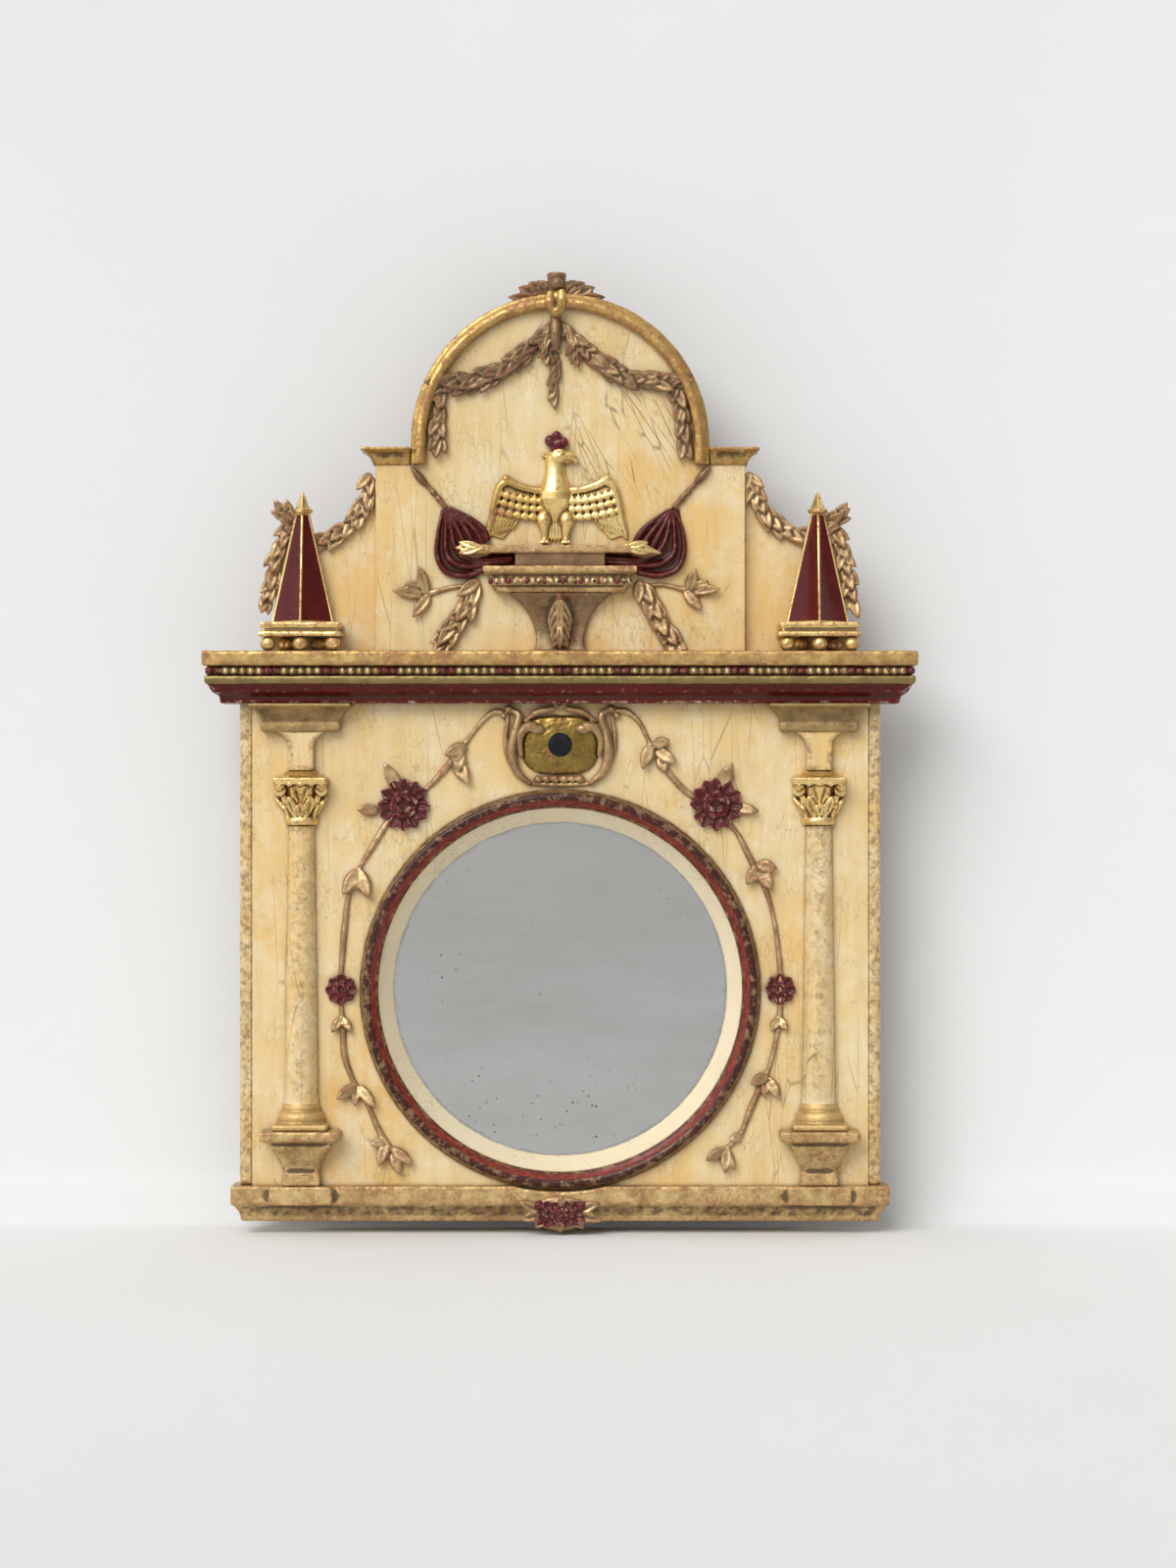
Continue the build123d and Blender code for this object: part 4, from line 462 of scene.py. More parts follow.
class Nodes:
    """Short calls that add and join the nodes of a shader tree."""

    def __init__(self, tree, output):
        self.tree = tree
        self.place = self.node("ShaderNodeTexCoord").outputs[output]

    def node(self, kind, **settings):
        new = self.tree.nodes.new(kind)
        for key, value in settings.items():
            setattr(new, key, value)
        return new

    def join(self, value, socket):
        if isinstance(value, bpy.types.NodeSocket):
            self.tree.links.new(value, socket)
        else:
            socket.default_value = value

    def calc(self, operation, a, b=0.0):
        new = self.node("ShaderNodeMath", operation=operation)
        self.join(a, new.inputs[0])
        self.join(b, new.inputs[1])
        return new.outputs[0]

    def times(self, a, b):
        return self.calc("MULTIPLY", a, b)

    def plus(self, a, b):
        return self.calc("ADD", a, b)

    def less(self, a, b):
        return self.calc("SUBTRACT", a, b)

    def most(self, a, b):
        return self.calc("MAXIMUM", a, b)

    def vector(self, operation, *values, output="Vector"):
        new = self.node("ShaderNodeVectorMath", operation=operation)
        for value, socket in zip(values, new.inputs):
            self.join(value, socket)
        return new.outputs[output]

    def axes(self, vector):
        """The X, Y and Z of a vector."""
        new = self.node("ShaderNodeSeparateXYZ")
        self.join(vector, new.inputs[0])
        return new.outputs

    def mixed(self, share, below, above):
        """One shader where share is 0, the other where it is 1."""
        new = self.node("ShaderNodeMixShader")
        for value, socket in zip((share, below, above), new.inputs):
            self.join(value, socket)
        return new.outputs[0]

    def stretched(self, factors, centre=(0, 0, 0)):
        new = self.node("ShaderNodeMapping")
        new.inputs["Location"].default_value = [-c * f for c, f in zip(centre, factors)]
        new.inputs["Scale"].default_value = factors
        self.join(self.place, new.inputs["Vector"])
        return new.outputs[0]

    def cloud(self, scale, detail=3.0, rough=0.55, vector=None, bend=0.0):
        new = self.node("ShaderNodeTexNoise")
        self.join(self.place if vector is None else vector, new.inputs["Vector"])
        new.inputs["Scale"].default_value = scale
        new.inputs["Detail"].default_value = detail
        new.inputs["Roughness"].default_value = rough
        new.inputs["Distortion"].default_value = bend
        return new.outputs[0]

    def cells(self, scale, vector=None, feature="F1"):
        new = self.node("ShaderNodeTexVoronoi", feature=feature)
        self.join(self.place if vector is None else vector, new.inputs["Vector"])
        new.inputs["Scale"].default_value = scale
        return new.outputs["Distance"]

    def step(self, value, low, high, to_low=0.0, to_high=1.0):
        new = self.node("ShaderNodeMapRange", clamp=True)
        for socket, number in zip(new.inputs[:5], (value, low, high, to_low, to_high)):
            self.join(number, socket)
        return new.outputs[0]

    def fade(self, value, end):
        """Falls from 1 at nothing to 0 at the end."""
        return self.step(value, 0.0, end, 1.0, 0.0)

    def blend(self, share, below, above):
        new = self.node("ShaderNodeMix", data_type="RGBA")
        self.join(share, new.inputs[0])
        for value, socket in ((below, new.inputs[6]), (above, new.inputs[7])):
            if not isinstance(value, bpy.types.NodeSocket):
                value = (*value[:3], 1.0)
            self.join(value, socket)
        return new.outputs[2]

    def true_normal(self):
        return self.node("ShaderNodeNewGeometry").outputs["True Normal"]

    def stored(self, name):
        return self.node("ShaderNodeAttribute", attribute_name=name).outputs["Fac"]

    def corners(self, reach):
        """Ambient occlusion, bright in corners and under overhangs where shade falls, dark in the open; it
        masks painted shade.
        """
        new = self.node("ShaderNodeAmbientOcclusion", samples=6)
        new.inputs["Distance"].default_value = reach * MM
        return self.less(1.0, new.outputs["AO"])

    def edges(self, reach):
        """Bright on sharp outer edges."""
        rounded = self.node("ShaderNodeBevel", samples=4)
        rounded.inputs["Radius"].default_value = reach * MM
        same = self.vector("DOT_PRODUCT", rounded.outputs[0], self.true_normal(), output="Value")
        return self.step(same, 0.995, 0.86)

    def relief(self, height, strength, distance):
        new = self.node("ShaderNodeBump")
        new.inputs["Strength"].default_value = strength
        new.inputs["Distance"].default_value = distance * MM
        self.join(height, new.inputs["Height"])
        return new.outputs[0]


class Finish(Nodes):
    """A material under construction, a new one or one that is painted over."""

    def __init__(self, name, material=None):
        self.material = material or bpy.data.materials.new(name)
        self.material.use_nodes = True
        super().__init__(self.material.node_tree, "Object")
        self.shader = self.tree.nodes["Principled BSDF"]

    def done(self, colour, rough, metal=None, bump=None, coat=0.0, coat_rough=0.15, specular=0.5):
        self.join(colour, self.shader.inputs["Base Color"])
        self.join(rough, self.shader.inputs["Roughness"])
        if metal is not None:
            self.join(metal, self.shader.inputs["Metallic"])
        if bump is not None:
            self.join(bump, self.shader.inputs["Normal"])
        self.shader.inputs["Coat Weight"].default_value = coat
        self.shader.inputs["Coat Roughness"].default_value = coat_rough
        self.shader.inputs["Specular IOR Level"].default_value = specular
        return self.material


def from_axis(f, x, z):
    """Distance from an axis that runs straight out of the wall at (x, z), in millimetres."""
    return f.vector("LENGTH", f.stretched((1 / MM, 0, 1 / MM), (x * MM, 0, z * MM)), output="Value")


def wood_grain(f, upright):
    """The colour and the grain of bare boards that stand upright or lie level."""
    fine, broad = ((1, 1, 0.06), (1, 1, 0.12)) if upright else ((0.06, 1, 1), (0.12, 1, 1))
    grain = f.cloud(260, 6, 0.7, f.stretched(fine), 0.4)
    rings = f.step(f.cloud(38, 4, 0.6, f.stretched(broad), 1.2), 0.35, 0.65)
    colour = f.blend(rings, colours().wood, PALE_WOOD)
    return f.blend(f.step(grain, 0.5, 0.75), colour, DARK_GRAIN), grain


def cream_paint(name, pale=0.5, cracks=0.6, on_frame=False, open_edge=0.0, checked=False):
    """Cream paint on gesso: honey stains, upright cracks, pits, rubbed edges, and painted shade with some
    soiling in the corners.

    On a board of the frame itself the back is bare wood."""
    c = colours()
    f = Finish(name)
    upright = f.stretched((1, 1, 0.3))
    patches = f.step(f.cloud(17, 5, 0.62, upright, 0.6), 0.40, 0.62)
    clouds = f.step(f.cloud(9, 3, 0.5), 0.42, 0.62)
    streaks = f.step(f.cloud(85, 5, 0.7, f.stretched((1, 1, 0.1))), 0.42, 0.72)
    chalky = f.step(f.cloud(30, 6, 0.75), 0.47, 0.62)
    colour = f.blend(f.times(patches, 0.7), c.cream, c.honey)
    colour = f.blend(f.times(clouds, 0.28), colour, c.honey)
    colour = f.blend(f.times(chalky, pale), colour, c.chalk)
    colour = f.blend(f.times(streaks, 0.3), colour, STREAK)
    shake = f.node("ShaderNodeTexNoise")
    f.join(f.place, shake.inputs["Vector"])
    shake.inputs["Scale"].default_value = 90
    spread = f.vector("MULTIPLY", shake.outputs["Color"], [CRACK_WANDER] * 3)
    wander = f.vector("ADD", f.stretched((1, 1, 0.33)), spread)
    craze = f.fade(f.cells(260, wander, "DISTANCE_TO_EDGE"), 0.045)
    craze = f.times(craze, f.step(f.cloud(26, 3, 0.6), 0.5, 0.6))
    checks = f.fade(f.cells(95, f.stretched((1, 1, 0.10)), "DISTANCE_TO_EDGE"), 0.018)
    checks = f.times(checks, f.step(f.cloud(40, 2, 0.5, f.stretched((1, 1, 0.2))), 0.52, 0.63))
    pits = f.fade(f.cells(300, f.stretched((1, 1, 0.45))), 0.19)
    pits = f.times(pits, f.step(f.cloud(70, 4, 0.7), 0.54, 0.6))
    lines = f.most(f.times(craze, 0.7 * cracks), f.times(checks, cracks))
    lines = f.most(lines, f.times(pits, 0.85))
    if checked:
        slant = f.node("ShaderNodeMapping", vector_type="TEXTURE")
        slant.inputs["Rotation"].default_value = (0, math.radians(-27), 0)
        slant.inputs["Scale"].default_value = (1, 1, 7)
        f.join(f.place, slant.inputs["Vector"])
        splits = f.fade(f.cells(210, slant.outputs[0], "DISTANCE_TO_EDGE"), 0.07)
        splits = f.times(splits, f.step(f.cloud(90, 4, 0.7, slant.outputs[0]), 0.46, 0.56))
        beside_eagle = f.stretched((1 / 0.060, 0, 1 / 0.052), (0.048, 0, 0.148))
        splits = f.times(splits, f.step(f.vector("LENGTH", beside_eagle, output="Value"), 1.0, 0.55))
        lines = f.most(lines, f.times(splits, 0.9))
    # Ambient occlusion darkens corners and crevices: painted shade, with some real soiling.
    dirt_and_shade = f.times(f.step(f.corners(4), 0.22, 0.85), 0.7)
    if on_frame:
        reveal = f.step(from_axis(f, 0, RING_Z), REVEAL_RADIUS + 0.5, REVEAL_RADIUS - 0.5)
        colour = f.blend(f.times(reveal, 0.8), colour, REVEAL_CREAM)
        # Less of this painted shade on the pale reveal.
        dirt_and_shade = f.times(dirt_and_shade, f.step(reveal, 0.0, 1.0, 1.0, 0.4))
        worn = f.edges(1.2)
    else:
        worn = f.step(f.stored("ridge"), 0.2, 0.7)
    worn = f.times(worn, f.step(f.cloud(160, 4, 0.7), 0.42, 0.56))
    if open_edge:
        flake = f.step(f.cloud(120, 6, 0.8, f.stretched((2.0, 1, 0.16))), 0.68 - 0.10 * open_edge,
                       0.74 - 0.08 * open_edge)
        worn = f.most(worn, f.times(flake, 0.5))
        rubbed = f.step(f.cloud(80, 5, 0.7, f.stretched((1.5, 1, 0.1))), 0.44, 0.66)
        colour = f.blend(f.times(rubbed, 0.55 * open_edge), colour, RUBBED_PAINT)
    bare = f.blend(f.step(f.cloud(300, 3, 0.6), 0.4, 0.6), *BARE_EDGE)
    colour = f.blend(f.times(worn, 0.8), colour, bare)
    # The corners take the crack colour as painted shade; the cracks on the next line are real.
    colour = f.blend(dirt_and_shade, colour, c.grime_and_shade)
    colour = f.blend(f.times(lines, 0.8), colour, c.grime_and_shade)
    if on_frame:
        back = f.step(f.axes(f.true_normal())["Y"], 0.8, 0.9)
        colour = f.blend(back, colour, wood_grain(f, True)[0])
    height = f.less(f.times(f.cloud(110, 6, 0.65, upright), 0.8), f.most(lines, worn))
    rough = f.step(f.cloud(50, 3), 0.3, 0.7, 0.36, 0.56)
    return f.done(colour, rough, bump=f.relief(height, 0.6, 0.4), specular=0.4)


def gilding(name, leaf, toned, bole_share=0.35, toning=0.5, gesso_share=0.0, metal=0.85, gloss=0.34):
    """Gold leaf over red bole: toned and darkened with painted shade in the hollows and corners, rubbed on
    the ridges, speckled all over.
    """
    c = colours()
    f = Finish(name)
    tone = f.step(f.cloud(75, 6, 0.75), 0.38, 0.62)
    fine = f.cloud(420, 4, 0.7)
    colour = f.blend(f.times(tone, toning), leaf, toned)
    # Hollows and ambient-occlusion corners: real toning plus painted shade.
    hollow = f.most(f.step(f.stored("hollow"), 0.05, 0.55), f.step(f.corners(3), 0.3, 0.85))
    speck = f.fade(f.cells(520), 0.22)
    speck = f.times(speck, f.step(f.cloud(120, 3), 0.5, 0.6))
    rubbed = f.step(f.plus(fine, f.times(f.cloud(38, 4, 0.7), 0.9)), 1.04 - 0.2 * bole_share, 1.16)
    ridge = f.step(f.stored("ridge"), 0.3, 0.9)
    ridge = f.times(ridge, f.step(f.cloud(210, 4, 0.7), 0.46, 0.6))
    worn = f.most(rubbed, f.times(ridge, 0.9))
    colour = f.blend(f.times(worn, 0.85), colour, c.bole)
    if gesso_share:
        white = f.step(f.plus(fine, f.cloud(26, 4, 0.7)), 1.26 - 0.2 * gesso_share, 1.34)
        colour = f.blend(white, colour, c.chalk)
        worn = f.most(worn, white)
    # Specks are real soiling; the hollow mask adds painted shade.
    dirt_and_shade = f.most(f.times(hollow, 0.85), f.times(speck, 0.6))
    colour = f.blend(dirt_and_shade, colour, c.umber)
    dull = f.most(worn, dirt_and_shade)
    shine = f.times(f.less(1.0, f.times(dull, 0.8)), metal)
    rough = f.plus(f.step(f.cloud(90, 4), 0.3, 0.7, gloss - 0.06, gloss + 0.1), f.times(dull, 0.22))
    height = f.less(f.times(f.cloud(260, 5, 0.6), 0.7), f.times(worn, 0.5))
    return f.done(colour, rough, shine, f.relief(height, 0.45, 0.3))


def lacquer(name, base, light, chips=0.4, streak=(1, 1, 1), coat=0.2):
    """Glossy dark lacquer over leaf: lighter red where thin, chips that show gesso and gold, painted shade in
    the hollows.
    """
    c = colours()
    f = Finish(name)
    thin = f.step(f.cloud(48, 5, 0.7, f.stretched(streak)), 0.42, 0.72)
    colour = f.blend(f.times(thin, 0.5), base, light)
    scratch = f.fade(f.cells(260, f.stretched((1, 1, 0.5))), 0.16)
    scratch = f.times(scratch, f.step(f.cloud(45, 3), 0.63 - 0.05 * chips, 0.68))
    ridge = f.times(f.step(f.stored("ridge"), 0.45, 1.0), f.step(f.cloud(190, 4, 0.7), 0.5, 0.62))
    worn = f.most(scratch, f.times(ridge, chips))
    under = f.blend(f.step(f.cloud(300, 2), 0.45, 0.55), c.copper, c.chalk)
    colour = f.blend(f.times(worn, 0.9), colour, under)
    # Darker in the hollows: painted shade.
    dirt_and_shade = f.step(f.stored("hollow"), 0.2, 0.9)
    colour = f.blend(f.times(dirt_and_shade, 0.8), colour, c.umber)
    rough = f.plus(f.step(f.cloud(80, 4), 0.3, 0.7, 0.2, 0.34), f.times(worn, 0.3))
    height = f.less(f.times(f.cloud(180, 4), 0.5), worn)
    return f.done(colour, rough, bump=f.relief(height, 0.3, 0.25), coat=coat, coat_rough=0.1, specular=0.16)


def ring_finish():
    """The round moulding: a brown gilt fillet, a dark half round and a mottled flame-red inner slope."""
    c = colours()
    f = Finish("Round moulding")
    low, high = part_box("mirror_ring")
    outer = (high.x - low.x) / 2 / MM
    radius = from_axis(f, 0, RING_Z)
    round_it = f.axes(f.vector("NORMALIZE", f.stretched((1, 0, 1), (0, 0, RING_Z * MM))))
    along = f.node("ShaderNodeCombineXYZ")
    f.join(f.times(round_it["X"], 8.0), along.inputs["X"])
    f.join(f.times(radius, 0.33), along.inputs["Y"])
    f.join(f.times(round_it["Z"], 8.0), along.inputs["Z"])
    along = along.outputs[0]
    mottle = f.step(f.cloud(2.4, 6, 0.7, along), 0.42, 0.60)
    flame = f.blend(mottle, DARK_FLAME, c.flame)
    flame = f.blend(f.step(f.cloud(5.5, 5, 0.7, along), 0.58, 0.70), flame, PALE_FLAME)
    dark = f.blend(f.step(f.cloud(2.0, 5, 0.7, along), 0.4, 0.7), *HALF_ROUND)
    outer_tone = f.blend(f.step(f.cloud(3.5, 5, 0.7, along), 0.45, 0.62), *OUTER_FILLET)
    inner = f.step(radius, outer - 8.6, outer - 7.6, 1.0, 0.0)
    edge = f.step(radius, outer - 3.4, outer - 2.7)
    inner_lip = f.step(radius, outer - 12.2, outer - 11.6, 1.0, 0.0)
    colour = f.blend(inner, dark, flame)
    colour = f.blend(edge, colour, outer_tone)
    colour = f.blend(f.times(inner_lip, 0.7), colour, c.umber)
    rubs = f.fade(f.cells(180), 0.2)
    rubs = f.times(rubs, f.step(f.cloud(60, 4, 0.7), 0.62, 0.68))
    ridge = f.times(f.step(f.stored("ridge"), 0.4, 0.9), f.step(f.cloud(150, 4, 0.7), 0.5, 0.6))
    worn = f.most(rubs, ridge)
    colour = f.blend(f.times(worn, 0.45), colour, c.copper)
    rough = f.step(f.cloud(90, 4), 0.3, 0.7, 0.26, 0.42)
    return f.done(colour, rough, bump=f.relief(f.cloud(160, 4), 0.25, 0.25), coat=0.2, coat_rough=0.14,
                  specular=0.2)


def plate_finish():
    """Old silvering: grey, faintly clouded, with black specks that gather low down and at the rim."""
    c = colours()
    f = Finish("Old mirror plate")
    radius = from_axis(f, 0, RING_Z)
    low = f.step(f.axes(f.place)["Z"], (RING_Z + 10) * MM, (RING_Z - 115) * MM)
    haze = f.step(f.cloud(11, 6, 0.72, f.stretched((0.45, 1, 1.5))), 0.38, 0.66)
    colour = f.blend(f.times(haze, 0.6), c.plate, SILVER_HAZE)
    grain = f.step(f.cloud(900, 2, 0.7), 0.35, 0.7)
    colour = f.blend(f.times(grain, 0.08), colour, SILVER_GRAIN)
    specks = f.step(f.plus(f.cells(170), f.times(f.cloud(500, 3), 0.12)), 0.17, 0.24, 1.0, 0.0)
    near = f.step(f.plus(f.cloud(17, 5, 0.75), f.times(low, 0.12)), 0.55, 0.64)
    specks = f.times(specks, near)
    rim = f.step(f.plus(radius, f.times(f.cloud(60, 5, 0.8), 7.0)), *PLATE_RIM)
    foxed = f.most(specks, f.times(rim, 0.55))
    colour = f.blend(f.times(foxed, 0.85), colour, FOXING)
    rough = f.plus(f.step(haze, 0.0, 1.0, 0.10, 0.16), f.times(foxed, 0.4))
    metal = f.less(1.0, f.times(foxed, 0.9))
    return f.done(colour, rough, metal)


def plain_wood():
    """Bare aged boards with grain and rings, and painted shade in the corners."""
    f = Finish("Bare wood")
    colour, grain = wood_grain(f, False)
    # Ambient occlusion darkens the corners: painted shade.
    colour = f.blend(f.times(f.corners(8), 0.6), colour, WOOD_CORNER_SHADE)
    return f.done(colour, 0.78, bump=f.relief(grain, 0.5, 0.4), specular=0.25)


def forged_iron():
    c = colours()
    f = Finish("Forged iron")
    rust = f.step(f.cloud(300, 5, 0.7), 0.5, 0.68)
    colour = f.blend(rust, c.iron, RUST)
    rough = f.step(rust, 0, 1, 0.45, 0.8)
    return f.done(colour, rough, f.step(rust, 0, 1, 0.8, 0.1), f.relief(f.cloud(500, 4), 0.5, 0.3))


def dark_glass():
    f = Finish("Dark glass")
    colour = f.blend(f.step(f.cloud(120, 4), 0.45, 0.65), *BLACK_GLASS)
    rough = f.step(f.cloud(200, 3), 0.4, 0.7, 0.05, 0.16)
    return f.done(colour, rough, bump=f.relief(f.cloud(60, 2), 0.15, 0.3), specular=0.25)


def paint_band(material, foot, top, dark, light, metal):
    """Turns the paint between two levels into worn gilding, with painted shade in the corners and painted
    highlights on the ridges.
    """
    f = Finish(None, material)
    soft = f.times(f.less(f.cloud(200, 3), 0.5), 0.0012)
    z = f.plus(f.axes(f.place)["Z"], soft)
    inside = f.times(f.calc("GREATER_THAN", z, foot), f.calc("LESS_THAN", z, top))
    old = f.shader.inputs["Base Color"].links[0].from_socket
    gilt = f.blend(f.step(f.cloud(70, 5, 0.7), 0.35, 0.7), dark, light)
    # Ambient occlusion darkens the corners: painted shade.
    gilt = f.blend(f.step(f.corners(4), 0.1, 0.7), gilt, colours().umber)
    # Ridges lightened towards the light gilt: a painted highlight.
    gilt = f.blend(f.times(f.step(f.stored("ridge"), 0.3, 0.9), 0.4), gilt, light)
    f.join(f.blend(inside, old, gilt), f.shader.inputs["Base Color"])
    f.join(f.times(inside, metal), f.shader.inputs["Metallic"])


def bead_finish():
    """Two beads in seven are burgundy, and the rest run from cream to gold."""
    c = colours()
    f = Finish("Beads")
    number = f.stored("bead")
    dark = f.calc("LESS_THAN", f.calc("MODULO", f.plus(number, 0.01), 7.0), 2.0)
    own = f.node("ShaderNodeTexWhiteNoise", noise_dimensions="1D")
    f.join(number, own.inputs["W"])
    gold = f.blend(own.outputs["Value"], *BEAD_GOLD)
    gold = f.blend(f.step(f.cloud(400, 3), 0.55, 0.65), gold, c.bole)
    colour = f.blend(dark, gold, f.blend(f.step(f.cloud(300, 3), 0.4, 0.7), *BEAD_RED))
    # Ambient occlusion darkens the gaps between beads: painted shade.
    colour = f.blend(f.step(f.corners(2.0), 0.2, 0.8), colour, c.umber)
    return f.done(colour, 0.35, f.times(f.less(1.0, dark), 0.6), f.relief(f.cloud(500, 3), 0.4, 0.3))


def pale_cloth():
    """The sheet behind and under the mirror, clear when it is seen from behind; its colour carries painted
    light and shade.
    """
    f = Finish("Pale cloth")
    # Fold shading painted as lighter and darker bands of the cloth colour.
    folds = f.cloud(2.2, 3, 0.5, f.stretched((1, 1, 0.4)))
    # By its slope the floor is painted lighter and the bend darker, to even out the light that falls on them:
    # painted light and shade.
    level = f.axes(f.true_normal())["Z"]
    bend = f.times(f.times(level, level), f.less(1.0, level))
    even = f.plus(f.less(f.times(level, 0.04), f.times(bend, 0.5)), 0.5)
    colour = f.blend(f.step(folds, 0.3, 0.7), (0.785, 0.785, 0.78), (0.825, 0.825, 0.82))
    colour = f.blend(f.step(even, 0.5, 0.6), colour, (0.87, 0.87, 0.865))
    colour = f.blend(f.step(even, 0.5, 0.35), colour, (0.69, 0.69, 0.685))
    f.done(colour, 0.9, bump=f.relief(f.cloud(600, 3), 0.1, 0.3), specular=0.1)
    behind = f.node("ShaderNodeNewGeometry").outputs["Backfacing"]
    either = f.mixed(behind, f.shader.outputs[0], f.node("ShaderNodeBsdfTransparent").outputs[0])
    f.join(either, f.tree.nodes["Material Output"].inputs["Surface"])
    return f.material


def cavetto_finish(c):
    """Burgundy in the hollow, with the gilt band above it."""
    material = lacquer("Burgundy hollow", c.burgundy, (0.15, 0.010, 0.007), 0.6, (0.15, 1, 1), coat=0.15)
    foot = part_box("cornice_beads")[0].z - BAND_BELOW_BEADS * MM
    paint_band(material, foot, foot + BAND_REACH * MM, (0.12, 0.085, 0.03), (0.30, 0.215, 0.08), 0.6)
    return material


def set_finish(node, finish):
    """Puts the finish on a node of the frame."""
    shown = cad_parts[node]
    if not shown.material_slots:
        raise RuntimeError(node + " has no material slot")
    for slot in shown.material_slots:
        slot.material = finish


def finishes():
    """All finishes by name, made once."""
    made = bpy.context.scene.get("mirror_finishes_made")
    if made:
        return {key: bpy.data.materials[value] for key, value in made.items()}
    c = colours()
    table = {
        "boards": cream_paint("Cream boards", on_frame=True),
        "arch_board": cream_paint("Cream arch board", on_frame=True, checked=True),
        "cream": cream_paint("Cream carving", 0.3, 0.7, open_edge=0.35),
        "strips": cream_paint("Cream edge strips", 0.5, 0.8, open_edge=0.35),
        "bright": gilding("Bright gold", (0.90, 0.67, 0.29), (0.55, 0.34, 0.09), 0.12, 0.55, 0.2, 0.94,
                          gloss=0.22),
        "gold": gilding("Old gold", (0.60, 0.41, 0.15), (0.27, 0.16, 0.045), 0.45, 0.8, 0.1, 0.75),
        "arch": gilding("Arch gold", (0.60, 0.40, 0.13), (0.27, 0.15, 0.035), 0.4, 0.6, 0.1, 0.85,
                        gloss=0.28),
        "brown": gilding("Brown gilding", (0.24, 0.165, 0.07), (0.12, 0.065, 0.028), 0.3, 0.7, 0.1, 0.45),
        "leaves": gilding("Laurel gilding", (0.52, 0.35, 0.17), (0.20, 0.11, 0.045), 0.2, 0.9, 0.0, 0.65),
        "dark_leaves": gilding("Dark laurel", (0.30, 0.19, 0.085), (0.085, 0.045, 0.02), 0.45, 0.9, 0.0,
                               0.55),
        "vines": gilding("Vine gilding", (0.60, 0.43, 0.22), (0.22, 0.125, 0.055), 0.12, 0.9, 0.1, 0.7),
        "rail": gilding("Rail gold", (0.70, 0.50, 0.22), (0.27, 0.16, 0.055), 0.3, 0.8, 0.3, 0.6, gloss=0.34),
        "shield": gilding("Shield gold", (0.30, 0.20, 0.045), (0.12, 0.07, 0.015), 0.2, 0.7, 0.05, 0.8,
                          gloss=0.2),
        "burgundy": lacquer("Burgundy lacquer", c.burgundy, (0.17, 0.014, 0.014), 0.4),
        "flags": lacquer("Flag lacquer", c.burgundy, (0.17, 0.010, 0.012), 0.12, coat=0.35),
        "cavetto": cavetto_finish(c),
        "beads": bead_finish(),
        "petals": lacquer("Petal lacquer", (0.10, 0.008, 0.012), (0.2, 0.03, 0.03), 0.5),
        "ring": ring_finish(),
        "plate": plate_finish(),
        "glass": dark_glass(),
        "wood": plain_wood(),
        "iron": forged_iron(),
    }
    bpy.context.scene["mirror_finishes_made"] = {key: value.name for key, value in table.items()}
    return table


# Geometry node trees

class Tree:
    """A geometry node tree under construction."""

    def __init__(self, name, inputs):
        self.group = bpy.data.node_groups.new(name, "GeometryNodeTree")
        face = self.group.interface
        face.new_socket("Geometry", in_out="OUTPUT", socket_type="NodeSocketGeometry")
        face.new_socket("Geometry", in_out="INPUT", socket_type="NodeSocketGeometry")
        for label, kind in inputs:
            face.new_socket(label, in_out="INPUT", socket_type=kind)
        self.entry = self.group.nodes.new("NodeGroupInput")
        self.exit = self.group.nodes.new("NodeGroupOutput")

    def given(self, label):
        return self.entry.outputs[label]

    def node(self, kind, links=(), **settings):
        new = self.group.nodes.new(kind)
        for key, value in settings.items():
            setattr(new, key, value)
        for socket, value in links:
            if isinstance(value, bpy.types.NodeSocket):
                self.group.links.new(value, new.inputs[socket])
            else:
                new.inputs[socket].default_value = value
        return new

    def close(self, geometry):
        real = self.node("GeometryNodeRealizeInstances", [(0, geometry)])
        coat = self.node("GeometryNodeSetMaterial",
                         [("Geometry", real.outputs[0]), ("Material", self.given("Finish"))])
        self.group.links.new(coat.outputs[0], self.exit.inputs[0])
        return self.group


